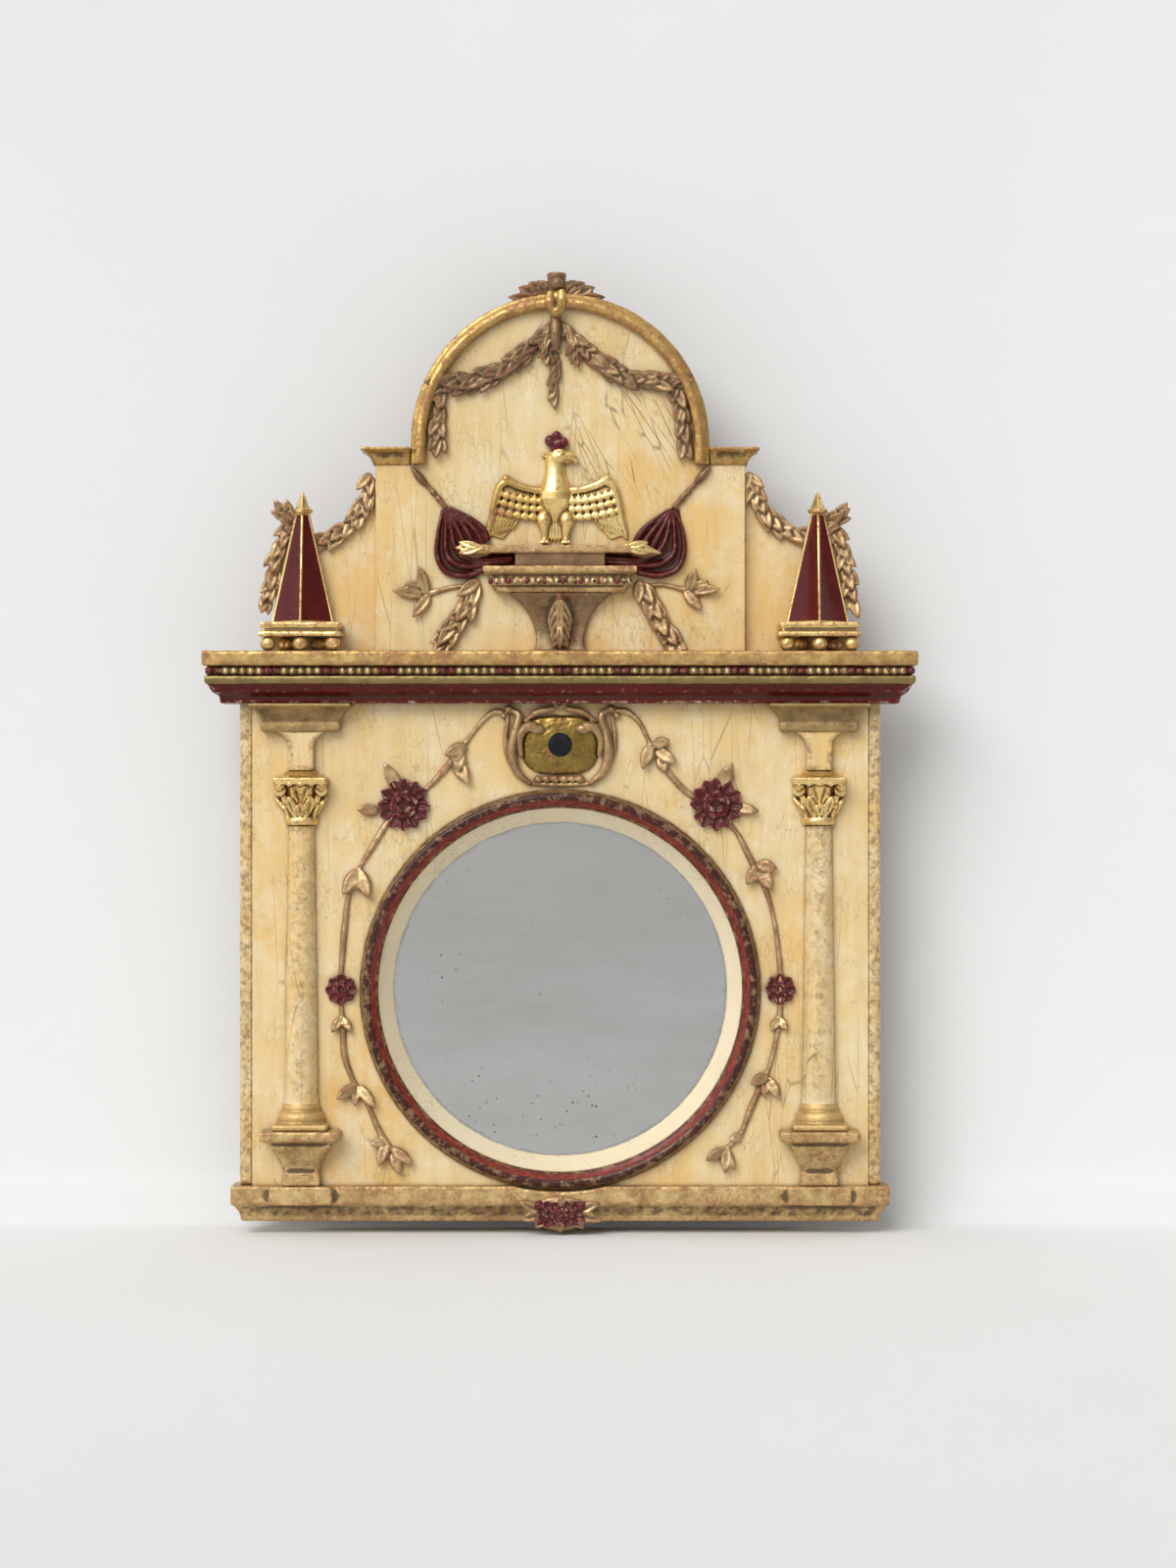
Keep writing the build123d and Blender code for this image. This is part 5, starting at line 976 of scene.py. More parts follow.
def leaf_row_tree():
    """Leaves in rows along a line: one row to each side and one down the middle, with a little disorder."""
    tree = Tree("Leaf rows", [
        ("Leaf", "NodeSocketObject"), ("Count", "NodeSocketInt"), ("Spread", "NodeSocketFloat"),
        ("Lift", "NodeSocketFloat"), ("Disorder", "NodeSocketFloat"), ("Seed", "NodeSocketInt"),
        ("Finish", "NodeSocketMaterial")])
    leaf = tree.node("GeometryNodeObjectInfo", [("Object", tree.given("Leaf"))]).outputs["Geometry"]
    joined = tree.node("GeometryNodeJoinGeometry")
    for row, (side, lag, rise) in enumerate(((-1, 0.0, 1.0), (1, 0.35, 1.0), (0, 0.6, 1.7))):
        points = tree.node("GeometryNodeCurveToPoints", [("Curve", tree.given("Geometry")),
                                                         ("Count", tree.given("Count"))], mode="COUNT")
        shift = tree.node("ShaderNodeVectorMath", [(0, points.outputs["Tangent"])], operation="SCALE")
        shift.inputs["Scale"].default_value = lag * LEAF_LAG
        moved = tree.node("GeometryNodeSetPosition", [("Geometry", points.outputs["Points"]),
                                                      ("Offset", shift.outputs[0])])
        facing = tree.node("FunctionNodeAxesToRotation",
                           [(0, points.outputs["Tangent"]), (1, (0.0, -1.0, 0.0))],
                           primary_axis="X", secondary_axis="Z")
        turn = tree.node("ShaderNodeMath", [(0, tree.given("Spread")), (1, float(side))],
                         operation="MULTIPLY")
        tip = tree.node("ShaderNodeMath", [(0, tree.given("Lift")), (1, -rise)], operation="MULTIPLY")
        angles = tree.node("ShaderNodeCombineXYZ", [("Y", tip.outputs[0]), ("Z", turn.outputs[0])])
        seed = tree.node("ShaderNodeMath", [(0, tree.given("Seed")), (1, float(row))], operation="ADD")
        random_turn = tree.node("FunctionNodeRandomValue", [("Seed", seed.outputs[0])],
                                data_type="FLOAT_VECTOR")
        random_turn.inputs[0].default_value = (-0.5, -0.5, -1.0)
        random_turn.inputs[1].default_value = (0.5, 0.5, 1.0)
        loose = tree.node("ShaderNodeVectorMath", [(0, random_turn.outputs[0])], operation="SCALE")
        tree.group.links.new(tree.given("Disorder"), loose.inputs["Scale"])
        total = tree.node("ShaderNodeVectorMath", [(0, angles.outputs[0]), (1, loose.outputs[0])],
                          operation="ADD")
        euler = tree.node("FunctionNodeEulerToRotation", [(0, total.outputs[0])])
        turned = tree.node("FunctionNodeRotateRotation", [(0, facing.outputs[0]), (1, euler.outputs[0])],
                           rotation_space="LOCAL")
        size = tree.node("FunctionNodeRandomValue", [("Seed", seed.outputs[0])], data_type="FLOAT")
        size.inputs[2].default_value, size.inputs[3].default_value = LEAF_SIZES
        put = tree.node("GeometryNodeInstanceOnPoints", [
            ("Points", moved.outputs[0]), ("Instance", leaf), ("Rotation", turned.outputs[0]),
            ("Scale", size.outputs[1])])
        tree.group.links.new(put.outputs[0], joined.inputs[0])
    return tree.close(joined.outputs[0])


def bead_tree():
    """Beads at even steps along a line, each with its own number for its colour."""
    tree = Tree("Bead course", [("Bead", "NodeSocketObject"), ("Pitch", "NodeSocketFloat"),
                                ("Finish", "NodeSocketMaterial")])
    bead = tree.node("GeometryNodeObjectInfo", [("Object", tree.given("Bead"))]).outputs["Geometry"]
    points = tree.node("GeometryNodeCurveToPoints",
                       [("Curve", tree.given("Geometry")), ("Length", tree.given("Pitch"))],
                       mode="LENGTH")
    facing = tree.node("FunctionNodeAxesToRotation", [(0, points.outputs["Tangent"]), (1, (0.0, 0.0, 1.0))],
                       primary_axis="X", secondary_axis="Z")
    size = tree.node("FunctionNodeRandomValue", [("Seed", 4)], data_type="FLOAT_VECTOR")
    size.inputs[0].default_value, size.inputs[1].default_value = BEAD_SIZES
    put = tree.node("GeometryNodeInstanceOnPoints", [
        ("Points", points.outputs["Points"]), ("Instance", bead), ("Rotation", facing.outputs[0]),
        ("Scale", size.outputs[0])])
    number = tree.node("GeometryNodeInputIndex")
    kept = tree.node("GeometryNodeStoreNamedAttribute", [
        ("Geometry", put.outputs[0]), ("Name", "bead"), ("Value", number.outputs[0])],
        data_type="FLOAT", domain="INSTANCE")
    return tree.close(kept.outputs[0])


def curve_piece(name, points):
    """A smooth curve through points across, up and out from the wall."""
    curve = bpy.data.curves.new(name, "CURVE")
    curve.dimensions = "3D"
    line = smooth_path([at(*p) for p in points])
    spline = curve.splines.new("POLY")
    spline.points.add(len(line) - 1)
    for point, p in zip(spline.points, line):
        point.co = (*p, 1)
    piece = bpy.data.objects.new(name, curve)
    bpy.context.scene.collection.objects.link(piece)
    return piece


def grow(name, points, group, **values):
    """Runs a node tree on a curve and returns the plain mesh that it makes."""
    line = curve_piece(name + "_line", points)
    modifier = line.modifiers.new("Grow", "NODES")
    modifier.node_group = group
    for item in group.interface.items_tree:
        label = item.name.lower()
        if item.in_out == "INPUT" and label in values:
            modifier[item.identifier] = values[label]
    mesh = evaluated_mesh(line)
    bpy.data.objects.remove(line)
    if not mesh.vertices:
        raise RuntimeError(name + " grew nothing")
    return mesh


def leaf_object(name, length, width, thick, **shape):
    bm = bmesh.new()
    skin(bm, leaf_rings(length, width, thick, **shape))
    piece = new_piece(name, bm)
    piece.hide_render = True
    return piece


class Leafage:
    """Rows of leaves along several lines, fused into one carving."""

    def __init__(self, finish):
        self.finish = finish
        self.group = bpy.data.node_groups.get("Leaf rows") or leaf_row_tree()
        self.bm = bmesh.new()

    def row(self, points, leaf, count, spread=28, lift=10, disorder=0.18, seed=1):
        mesh = grow("leaf_row", points, self.group, leaf=leaf, count=count, spread=math.radians(spread),
                    lift=math.radians(lift), disorder=disorder, seed=seed, finish=self.finish)
        self.bm.from_mesh(mesh)
        bpy.data.meshes.remove(mesh)


def lifted(points, depth):
    return [(x, z, depth) for x, z in points]


# The stage

class MIRROR_OT_stage(bpy.types.Operator):
    """Sets up the camera, the pale wall and floor, and the soft lights"""
    bl_idname = "mirror.stage"
    bl_label = "Stage"

    picture_centre = (19.6, -93.1)
    sensor_height = 24.0
    view_end = 50
    sun_width = 42
    sun_way = (0.46, 0.85, -0.72)
    bright_side = (-0.60, 0.0, 0.50)
    fill_colour = (0.8, 0.8, 0.8)
    room_colour = (1.0, 0.985, 0.96)
    room_least = 0.05
    wall_gap = 40.0
    floor_gap = 0.5
    cove = 38.0
    cove_steps = 16
    floor_reach = 6.0
    wall_top = 3.0
    half_width = 4

    def execute(self, context):
        self.add_camera(context.scene)
        self.add_lights(context.scene)
        self.add_sheet()
        return {"FINISHED"}

    def add_camera(self, scene):
        s = sizes()
        x, z = self.picture_centre
        camera = bpy.data.cameras.new("Camera")
        camera.sensor_fit = "VERTICAL"
        camera.sensor_height = self.sensor_height
        camera.lens = self.sensor_height * s.camera_distance / s.view_height
        camera.clip_end = self.view_end
        eye = bpy.data.objects.new("Camera", camera)
        eye.location = (x * MM, -s.camera_distance, z * MM)
        eye.rotation_euler = (math.radians(90), 0, 0)
        scene.collection.objects.link(eye)
        scene.camera = eye

    def add_lights(self, scene):
        """A soft key light, a fill from all round, and an uneven room that only the gilding mirrors."""
        s, c = sizes(), colours()
        sun = bpy.data.lights.new("Soft key", "SUN")
        sun.energy = s.sun_strength
        sun.angle = math.radians(self.sun_width)
        lamp = bpy.data.objects.new("Soft key", sun)
        lamp.rotation_euler = Vector(self.sun_way).to_track_quat("-Z", "Y").to_euler()
        scene.collection.objects.link(lamp)

        scene.world = bpy.data.worlds.new("Studio")
        scene.world.use_nodes = True
        scene.world.node_tree.nodes.clear()
        w = Nodes(scene.world.node_tree, "Generated")
        slope = w.vector("DOT_PRODUCT", w.place, self.bright_side, output="Value")
        level = w.plus(w.times(w.cloud(2.6, 2.0, 0.5), 0.5), 0.5)
        room_strength = w.most(w.plus(level, slope), self.room_least)
        glow = []
        for colour, strength in (
                (self.fill_colour, s.sky_strength), (c.backdrop, 1.0), (self.room_colour, room_strength)):
            new = w.node("ShaderNodeBackground")
            new.inputs["Color"].default_value = (*colour, 1)
            w.join(strength, new.inputs["Strength"])
            glow.append(new.outputs[0])
        fill, seen, room = glow
        paths = w.node("ShaderNodeLightPath").outputs
        shown = w.mixed(paths["Is Camera Ray"], fill, seen)
        w.join(w.mixed(paths["Is Glossy Ray"], shown, room), w.node("ShaderNodeOutputWorld").inputs[0])

    def add_sheet(self):
        """One sheet that runs along the floor and up the wall."""
        floor = CAD_BOX[0][2] - self.floor_gap * MM
        wall, curve = self.wall_gap * MM, self.cove * MM
        bends = [(-self.floor_reach, floor)]
        for i in range(self.cove_steps + 1):
            a = math.pi / 2 * i / self.cove_steps
            bends.append((wall - curve * (1 - math.sin(a)), floor + curve * (1 - math.cos(a))))
        bends.append((wall, self.wall_top))
        bm = bmesh.new()
        rows = [[bm.verts.new((side * self.half_width, y, z)) for y, z in bends] for side in (-1, 1)]
        for i in range(len(bends) - 1):
            bm.faces.new((rows[0][i], rows[1][i], rows[1][i + 1], rows[0][i + 1]))
        sweep = new_piece("studio_sweep", bm)
        if sweep.data.polygons[len(bends) - 2].normal.y > 0:
            sweep.data.flip_normals()
        sweep.data.materials.append(pale_cloth())


# Pieces of the mirror

class MIRROR_OT_boards(bpy.types.Operator):
    """Paints the fronts of the boards cream and leaves the wood behind bare"""
    bl_idname = "mirror.boards"
    bl_label = "Boards"

    strip_grid = 0.0012

    def execute(self, context):
        table = finishes()
        for node in ("main_board", "upper_board"):
            set_finish(node, table["boards"])
        set_finish("arch_panel", table["arch_board"])
        for node in ("upper_batten", "lower_batten", "mirror_backboard"):
            set_finish(node, table["wood"])
        for _, word in SIDES:
            aged("edge_strip_" + word, "painted_edge_strip_" + word, self.strip_grid, 2, 0.1,
                 table["strips"])
        return {"FINISHED"}


class MIRROR_OT_mouldings(bpy.types.Operator):
    """Ages the cornice, arch, ears, rail and round moulding"""
    bl_idname = "mirror.mouldings"
    bl_label = "Mouldings"

    wobble = 0.25
    ring_wobble = 0.12
    runs = (
        ("cornice_shelf", "gold", "worn_gilding"),
        ("cornice_cavetto", "cavetto", "burgundy_lacquer"),
        ("base_rail", "rail", "worn_gilding"),
        ("mirror_ring", "ring", "tortoiseshell_red"),
        ("arch_moulding", "arch", "worn_gilding"),
        ("ear_moulding_left", "arch", "worn_gilding"),
        ("ear_moulding_right", "arch", "worn_gilding"),
    )

    def execute(self, context):
        table = finishes()
        for node, finish, slot in self.runs:
            wobble = self.ring_wobble if node == "mirror_ring" else self.wobble
            aged(node, "aged_" + node, sizes().coarse_voxel, 2, wobble, table[finish])
        return {"FINISHED"}


class MIRROR_OT_beads(bpy.types.Operator):
    """Sets the beads under the cornice shelf: two of burgundy, then five of gold"""
    bl_idname = "mirror.beads"
    bl_label = "Beads"

    bead_size = (0.0050, 0.0050, 0.0062)
    bead_bevel = 0.0011
    inset = 0.0024
    wall_gap = 0.003

    def execute(self, context):
        table = finishes()
        pitch = sizes().bead_pitch
        low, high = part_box("cornice_beads")
        bm = bmesh.new()
        bmesh.ops.create_cube(bm, size=1.0, matrix=Matrix.Diagonal((*self.bead_size, 1)))
        bmesh.ops.bevel(bm, geom=bm.edges[:], offset=self.bead_bevel, segments=2, affect="EDGES")
        bead = new_piece("bead", bm)
        bead.hide_render = True
        out, back = self.inset, high.y - self.wall_gap
        z = (low.z + high.z) / 2 / MM
        corners = [(low.x + out, back), (low.x + out, low.y + out), (high.x - out, low.y + out),
                   (high.x - out, back)]
        group = bead_tree()
        joined = bmesh.new()
        for (x1, y1), (x2, y2) in zip(corners, corners[1:]):
            mesh = grow("beads", [(x1 / MM, z, -y1 / MM), (x2 / MM, z, -y2 / MM)], group,
                        bead=bead, pitch=pitch, finish=table["beads"])
            joined.from_mesh(mesh)
        course = new_piece("bead_course", joined)
        bpy.data.objects.remove(bead)
        finish_piece(course, table["beads"], [])
        aged("cornice_beads", "bead_backing", sizes().coarse_voxel, 1, 0.1, table["brown"])
        return {"FINISHED"}

class MIRROR_OT_plate(bpy.types.Operator):
    """Silvers the plate and finishes the ironwork behind"""
    bl_idname = "mirror.plate"
    bl_label = "Mirror plate and ironwork"

    def execute(self, context):
        table = finishes()
        set_finish("mirror_glass", table["plate"])
        for node in ("glass_brads", "batten_nails", "hanger_staple", "hanger_ring"):
            set_finish(node, table["iron"])
        return {"FINISHED"}


class MIRROR_OT_garlands(bpy.types.Operator):
    """Carves the swags, the pendant, the garlands on the wings and the laurels"""
    bl_idname = "mirror.garlands"
    bl_label = "Garlands and laurels"

    swags = {
        "left": [(-6, 226), (-19, 216), (-36, 201), (-58, 191), (-78, 189)],
        "right": [(6, 224), (20, 209), (41, 195), (62, 190), (77, 190)],
    }
    drops = {
        "left": [(-83, 188), (-85, 172), (-86, 155)],
        "right": [(82, 188), (85.5, 170), (86.5, 152)],
    }
    wing_lines = {
        "left": [(-134, 126), (-136, 112), (-144, 96), (-156, 85), (-170, 79), (-182, 83), (-190, 92)],
        "right": [(134, 127), (138, 112), (147, 97), (160, 86), (173, 83), (184, 88), (191, 92)],
    }
    wing_drops = {
        "left": [(-191, 90), (-199, 72), (-203, 54), (-206, 42)],
        "right": [(192, 90), (199, 72), (203, 54), (205, 42)],
    }
    laurel_hang = {
        "left": [(-57, 50), (-66, 32), (-78, 14)],
        "right": [(56, 50), (66, 30), (76, 12)],
    }
    laurel_stem = {
        "left": [(-58, 46), (-72, 46), (-88, 42), (-96, 40)],
        "right": [(57, 46), (72, 47), (86, 44), (92, 42)],
    }
    spray = {
        "left": ((-94, 41, 105, 21), (-97, 40, 172, 22), (-92, 39, 232, 20), (-98, 42, 150, 14)),
        "right": ((90, 43, 70, 17), (92, 43, 2, 22), (88, 42, -48, 18), (93, 43, 30, 14)),
    }

    def execute(self, context):
        table = finishes()
        length = sizes().laurel_leaf / MM
        leaf = leaf_object("swag_leaf", 1.08 * length, 8.0, 3.0, fold=0.4, curl=1.2)
        slim = leaf_object("slim_leaf", 0.85 * length, 5.2, 2.6, fold=0.4, curl=0.6)
        broad = leaf_object("laurel_leaf", 1.3 * length, 9.6, 3.4, fold=0.42, curl=1.2)
        for seed, (_, word) in enumerate(SIDES):
            swag = Leafage(table["dark_leaves"])
            swag.row(lifted(self.swags[word], ARCH_FACE + 1.4), leaf, 11, 24, 8, 0.2, seed + 1)
            swag.row(lifted(self.swags[word][1:4], ARCH_FACE + 3.0), leaf, 6, 14, 5, 0.25, seed + 5)
            swag.row(lifted(self.drops[word], ARCH_FACE + 1.0), leaf, 4, 19, 8, 0.18, seed + 9)
            add_stem(swag.bm, self.swags[word], ARCH_FACE + 1.5, [2.6, 4.0, 4.4, 3.4, 2.0], flat=0.7)
            carved("leafy_swag_" + word, swag.bm, table["dark_leaves"], "brown_gilding", ["swag_" + word],
                   ARCH_FACE, wobble=0.12)

            wing = Leafage(table["leaves"])
            wing.row(lifted(self.wing_lines[word], WING_FACE + 1.0), leaf, 12, 23, 8, 0.18, seed + 13)
            wing.row(lifted(self.wing_drops[word], WING_FACE + 1.0), leaf, 6, 21, 8, 0.18, seed + 17)
            line = self.wing_lines[word] + self.wing_drops[word][1:]
            add_stem(wing.bm, line, WING_FACE + 1.5, [1.8, 3.0, 3.2, 3.0, 2.6, 1.5], flat=0.7)
            carved("leafy_garland_" + word, wing.bm, table["leaves"], "brown_gilding",
                   ["wing_garland_" + word], WING_FACE, wobble=0.12)

            laurel = Leafage(table["leaves"])
            laurel.row(lifted(self.laurel_hang[word], ARCH_FACE + 0.8), broad, 5, 23, 7, 0.12, seed + 21)
            add_stem(laurel.bm, self.laurel_stem[word], ARCH_FACE + 1.0, [1.8, 1.5, 2.2, 1.6], flat=0.8)
            for x, z, turn, reach in self.spray[word]:
                add_leaf(laurel.bm, place(x, z, ARCH_FACE + 0.8, turn, 7), reach, 9.0, 3.6, fold=0.4,
                         curl=1.6)
            carved("laurel_branch_" + word, laurel.bm, table["leaves"], "brown_gilding", ["laurel_" + word],
                   ARCH_FACE, wobble=0.12, foot=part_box("cornice_shelf")[1].z)

        pendant = Leafage(table["dark_leaves"])
        pendant.row(lifted([(-1.5, 210), (-4, 196), (-4.5, 186)], ARCH_FACE + 0.8), slim, 6, 16, 8, 0.2, 31)
        pendant.row(lifted([(-4, 232), (-8, 222), (-9, 214)], ARCH_FACE + 2.5), slim, 4, 22, 6, 0.25, 33)
        pendant.row(lifted([(2, 232), (7, 222), (9, 212)], ARCH_FACE + 2.5), slim, 4, 22, 6, 0.25, 35)
        add_run(pendant.bm, (-3, 0, ARCH_FACE), 1, ((0, 237, 3), (0, 224, 4), (0, 212, 3)), [3.6, 4.2, 3.0])
        carved("leafy_pendant", pendant.bm, table["dark_leaves"], "brown_gilding", ["swag_pendant"],
               ARCH_FACE, wobble=0.12)
        for spare in (leaf, slim, broad):
            bpy.data.objects.remove(spare)
        return {"FINISHED"}


class MIRROR_OT_vines(bpy.types.Operator):
    """Carves the flowering vines beside the round moulding, and their flowers"""
    bl_idname = "mirror.vines"
    bl_label = "Vines and flowers"

    seed = 7
    flowers = (("large_flower_", 18.5, 12), ("small_flower_", 11.0, 8))

    stems = {
        "left": [(-36, -46), (-44, -42), (-52, -46), (-62, -58), (-71, -70), (-84, -86), (-96, -98),
                 (-112, -108),
                 (-124, -124), (-134, -140), (-142, -154), (-149, -172), (-152, -196), (-154, -222),
                 (-155, -240),
                 (-153, -262), (-152, -284), (-145, -303), (-136, -318), (-127, -338), (-118, -352)],
        "right": [(34, -42), (46, -42), (56, -50), (64, -66), (74, -82), (88, -98), (104, -108), (122, -124),
                  (134, -146), (144, -166), (150, -186), (154, -214), (155, -236), (154, -262), (148, -290),
                  (142, -304), (134, -322), (126, -342), (116, -350)],
    }
    leaves = {
        "left": ((-66, -66, 205, 17, 9), (-70, -70, 262, 15, 9), (-74, -76, 300, 20, 10),
                 (-69, -68, 235, 12, 8),
                 (-114, -96, 118, 20, 9), (-128, -112, 176, 15, 8), (-142, -154, 238, 20, 10),
                 (-142, -154, 292, 21, 10),
                 (-143, -156, 266, 12, 7), (-154, -258, 236, 12, 6), (-153, -258, 304, 12, 6),
                 (-144, -306, 214, 16, 8),
                 (-142, -306, 310, 19, 8), (-143, -308, 262, 12, 6), (-122, -346, 250, 17, 8),
                 (-118, -350, 325, 18, 8),
                 (-118, -352, 290, 17, 8), (-124, -344, 200, 10, 6)),
        "right": ((64, -66, 250, 18, 9), (68, -70, 330, 16, 9), (66, -66, 20, 12, 8), (70, -74, 290, 12, 8),
                  (112, -96, 62, 20, 9), (124, -110, 352, 16, 8), (140, -152, 232, 15, 9),
                  (140, -152, 300, 18, 10),
                  (139, -150, 350, 14, 9), (154, -258, 236, 11, 6), (154, -258, 304, 11, 6),
                  (146, -298, 208, 14, 8),
                  (146, -300, 300, 17, 8), (145, -302, 262, 12, 6), (128, -340, 205, 10, 6),
                  (118, -350, 262, 17, 8),
                  (116, -350, 210, 16, 7), (116, -352, 300, 14, 7)),
    }

    def execute(self, context):
        table = finishes()
        chance = random.Random(self.seed)
        for _, word in SIDES:
            bm = bmesh.new()
            line = self.stems[word]
            radii = [1.9 + 0.5 * math.sin(1.7 * i) + 0.2 * chance.random() for i in range(len(line))]
            add_stem(bm, line, PANEL_FACE + 1.0, radii, flat=0.95, steps=4)
            for x, z, turn, length, width in self.leaves[word]:
                add_leaf(bm, place(x, z, PANEL_FACE + 0.8, turn, 8), 1.05 * length, 1.15 * width, 3.8,
                         fold=0.3, curl=2.2)
            carved("carved_vine_" + word, bm, table["vines"], "brown_gilding", ["vine_" + word],
                   face=PANEL_FACE)
            for kind, radius, petals in self.flowers:
                node = kind + word
                centre = middle_of(node)
                bm = bmesh.new()
                add_flower(bm, centre.x, centre.z, PANEL_FACE, radius, petals, chance)
                carved("carved_" + node, bm, table["petals"], "burgundy_lacquer", [node], face=PANEL_FACE)
        return {"FINISHED"}


class MIRROR_OT_eagle(bpy.types.Operator):
    """Carves the eagle with its wings and its crown of berries"""
    bl_idname = "mirror.eagle"
    bl_label = "Eagle"

    axis_x = -3.5
    grid = 0.9
    body = ((92, 4), (96, 7.0), (101, 10.2), (107, 12.2), (112, 12.0), (118, 10.0), (124, 7.8), (130, 7.0),
            (136, 7.2), (140, 6.0), (143, 2.6))
    berries = ((-5.4, 150.5, 4.0, 4.3), (4.4, 149.5, 4.0, 4.0), (-0.6, 154.2, 3.6, 3.6),
               (-0.2, 148.6, 5.6, 3.4))
    wing_board = ((9, 112), (20, 112), (34, 117), (41, 113), (44, 98), (47, 82), (38, 79), (30, 88), (24, 96),
                  (10, 99))
    feather_rows = ((111, 8.5), (105.5, 8.5), (100, 9.0))
    short_feathers = 7
    long_feathers = 8

    def execute(self, context):
        table = finishes()
        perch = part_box("eagle_plinth")[1].z / MM
        face = ARCH_FACE
        bm = bmesh.new()
        x = self.axis_x
        add_lathe(bm, x, [z for z, r in self.body], [r for z, r in self.body], face, 0.92)
        add_ball(bm, x + 2.5, 137, face + 2, 6.6, (1.1, 1.0, 0.85))
        add_run(bm, (x, 0, face), 1, ((6, 137.6, 3.6), (10.5, 137.2, 3.6), (14, 134.8, 3.2),
                                      (14.4, 131.6, 2.8)), [4.4, 3.7, 2.5, 0.7], 8)
        add_run(bm, (x, 0, face), 1, ((7, 134.5, 3.2), (11, 133.4, 3.0)), [2.2, 1.0], 8)
        add_ball(bm, x + 4.6, 138.2, face + 8.0, 1.3)
        add_run(bm, (x, 0, face), 1, ((-1, 140.5, 5.8), (4, 141.0, 7.2), (9, 139.3, 5.6)), [1.0, 1.4, 0.9], 8)
        add_ball(bm, x - 8.5, 138, face + 1.5, 1.6)
        for side in (-1, 1):
            add_ball(bm, x + side * 8.2, 92.5, face + 3.5, 5.4, (0.95, 0.9, 1.25))
            add_run(bm, (x, 0, face), side, ((8, 88, 4), (7.4, 80, 4), (7.6, perch, 5)),
                    [3.6, 2.0, 1.9])
            for turn in (-22, 0, 22):
                a = math.radians(turn)
                add_bar(bm, [at(x + side * 7.6, perch + 1.8, face + 5),
                             at(x + side * 7.6 + 5 * math.sin(a), perch + 1.9, face + 5 + 4.4 * math.cos(a)),
                             at(x + side * 7.6 + 6.6 * math.sin(a), perch + 0.3,
                                face + 5 + 6.4 * math.cos(a))],
                        [1.6, 1.5, 0.7], 8)
        for i in range(-2, 3):
            add_leaf(bm, place(x + 1.6 * i, 97, face + 1.4, 270 + 3.5 * i, -2), 97 - perch, 4.2, 2.6,
                     fold=0.5)
        carved("carved_eagle", bm, table["bright"], "worn_gilding", ["eagle_body"], face=face, rounds=2,
               wobble=0.1, grid=self.grid)

        bm = bmesh.new()
        for bx, bz, bd, r in self.berries:
            add_ball(bm, x + bx * 0.95 + 1.6, bz - 2.2, face + bd - 1.0, r * 0.94)
        add_run(bm, (x, 0, face), 1, ((1, 141, 2), (1, 148, 3)), [4.6, 3.8])
        carved("eagle_berries", bm, table["petals"], "burgundy_lacquer", face=face, wobble=0.08,
               grid=self.grid)

        for side, word in SIDES:
            bm = bmesh.new()
            self.wing(bm, side, face, perch)
            carved("carved_wing_" + word, bm, table["bright" if side > 0 else "arch"], "worn_gilding",
                   ["eagle_wing_" + word], face=face, wobble=0.1, grid=self.grid)
        return {"FINISHED"}

    def wing(self, bm, side, face, perch):
        """A bent arm with a ball at the wrist, three rows of short feathers and long ones below."""
        x = self.axis_x + 1
        add_run(bm, (x, 0, face), side, ((9, 113, 3), (18, 114, 3.4), (28, 117, 3.6), (34, 120.5, 3.6)),
                [3.0, 2.6, 2.8, 3.0], flat=0.8)
        add_run(bm, (x, 0, face), side, ((34.5, 120, 3.4), (40, 116, 3.6), (43.4, 106, 3.4), (46, 92, 2.6),
                                         (49.5, perch + 4, 1.6)),
                [3.0, 2.8, 2.3, 1.9, 1.1], flat=0.9)
        add_plate(bm, [(x + side * px, pz) for px, pz in self.wing_board], face - 0.5, face + 1.8)
        for row, (z, reach) in enumerate(self.feather_rows):
            for i in range(self.short_feathers):
                t = i / (self.short_feathers - 1)
                px = 10.5 + (28 + 2.0 * row) * t
                pz = z + 5.5 * t * t
                add_leaf(bm, place(x + side * px, pz, face + 3.4 - 0.5 * row, 270 + side * (4 + 12 * t), 3),
                         reach, 6.6, 1.9, fold=0.2, blunt=1.0, curl=0.5)
        for i in range(self.long_feathers):
            t = i / (self.long_feathers - 1)
            px, pz = 25 + 16 * t, 101 + 9 * t
            long = 18 + 15 * t
            add_leaf(bm, place(x + side * px, pz, face + 1.8, 270 + side * (26 - 10 * t), -1), long, 5.4, 2.6,
                     fold=0.7, blunt=0.4)
        add_ball(bm, x + side * 35.5, 121.4, face + 3.6, 3.1)


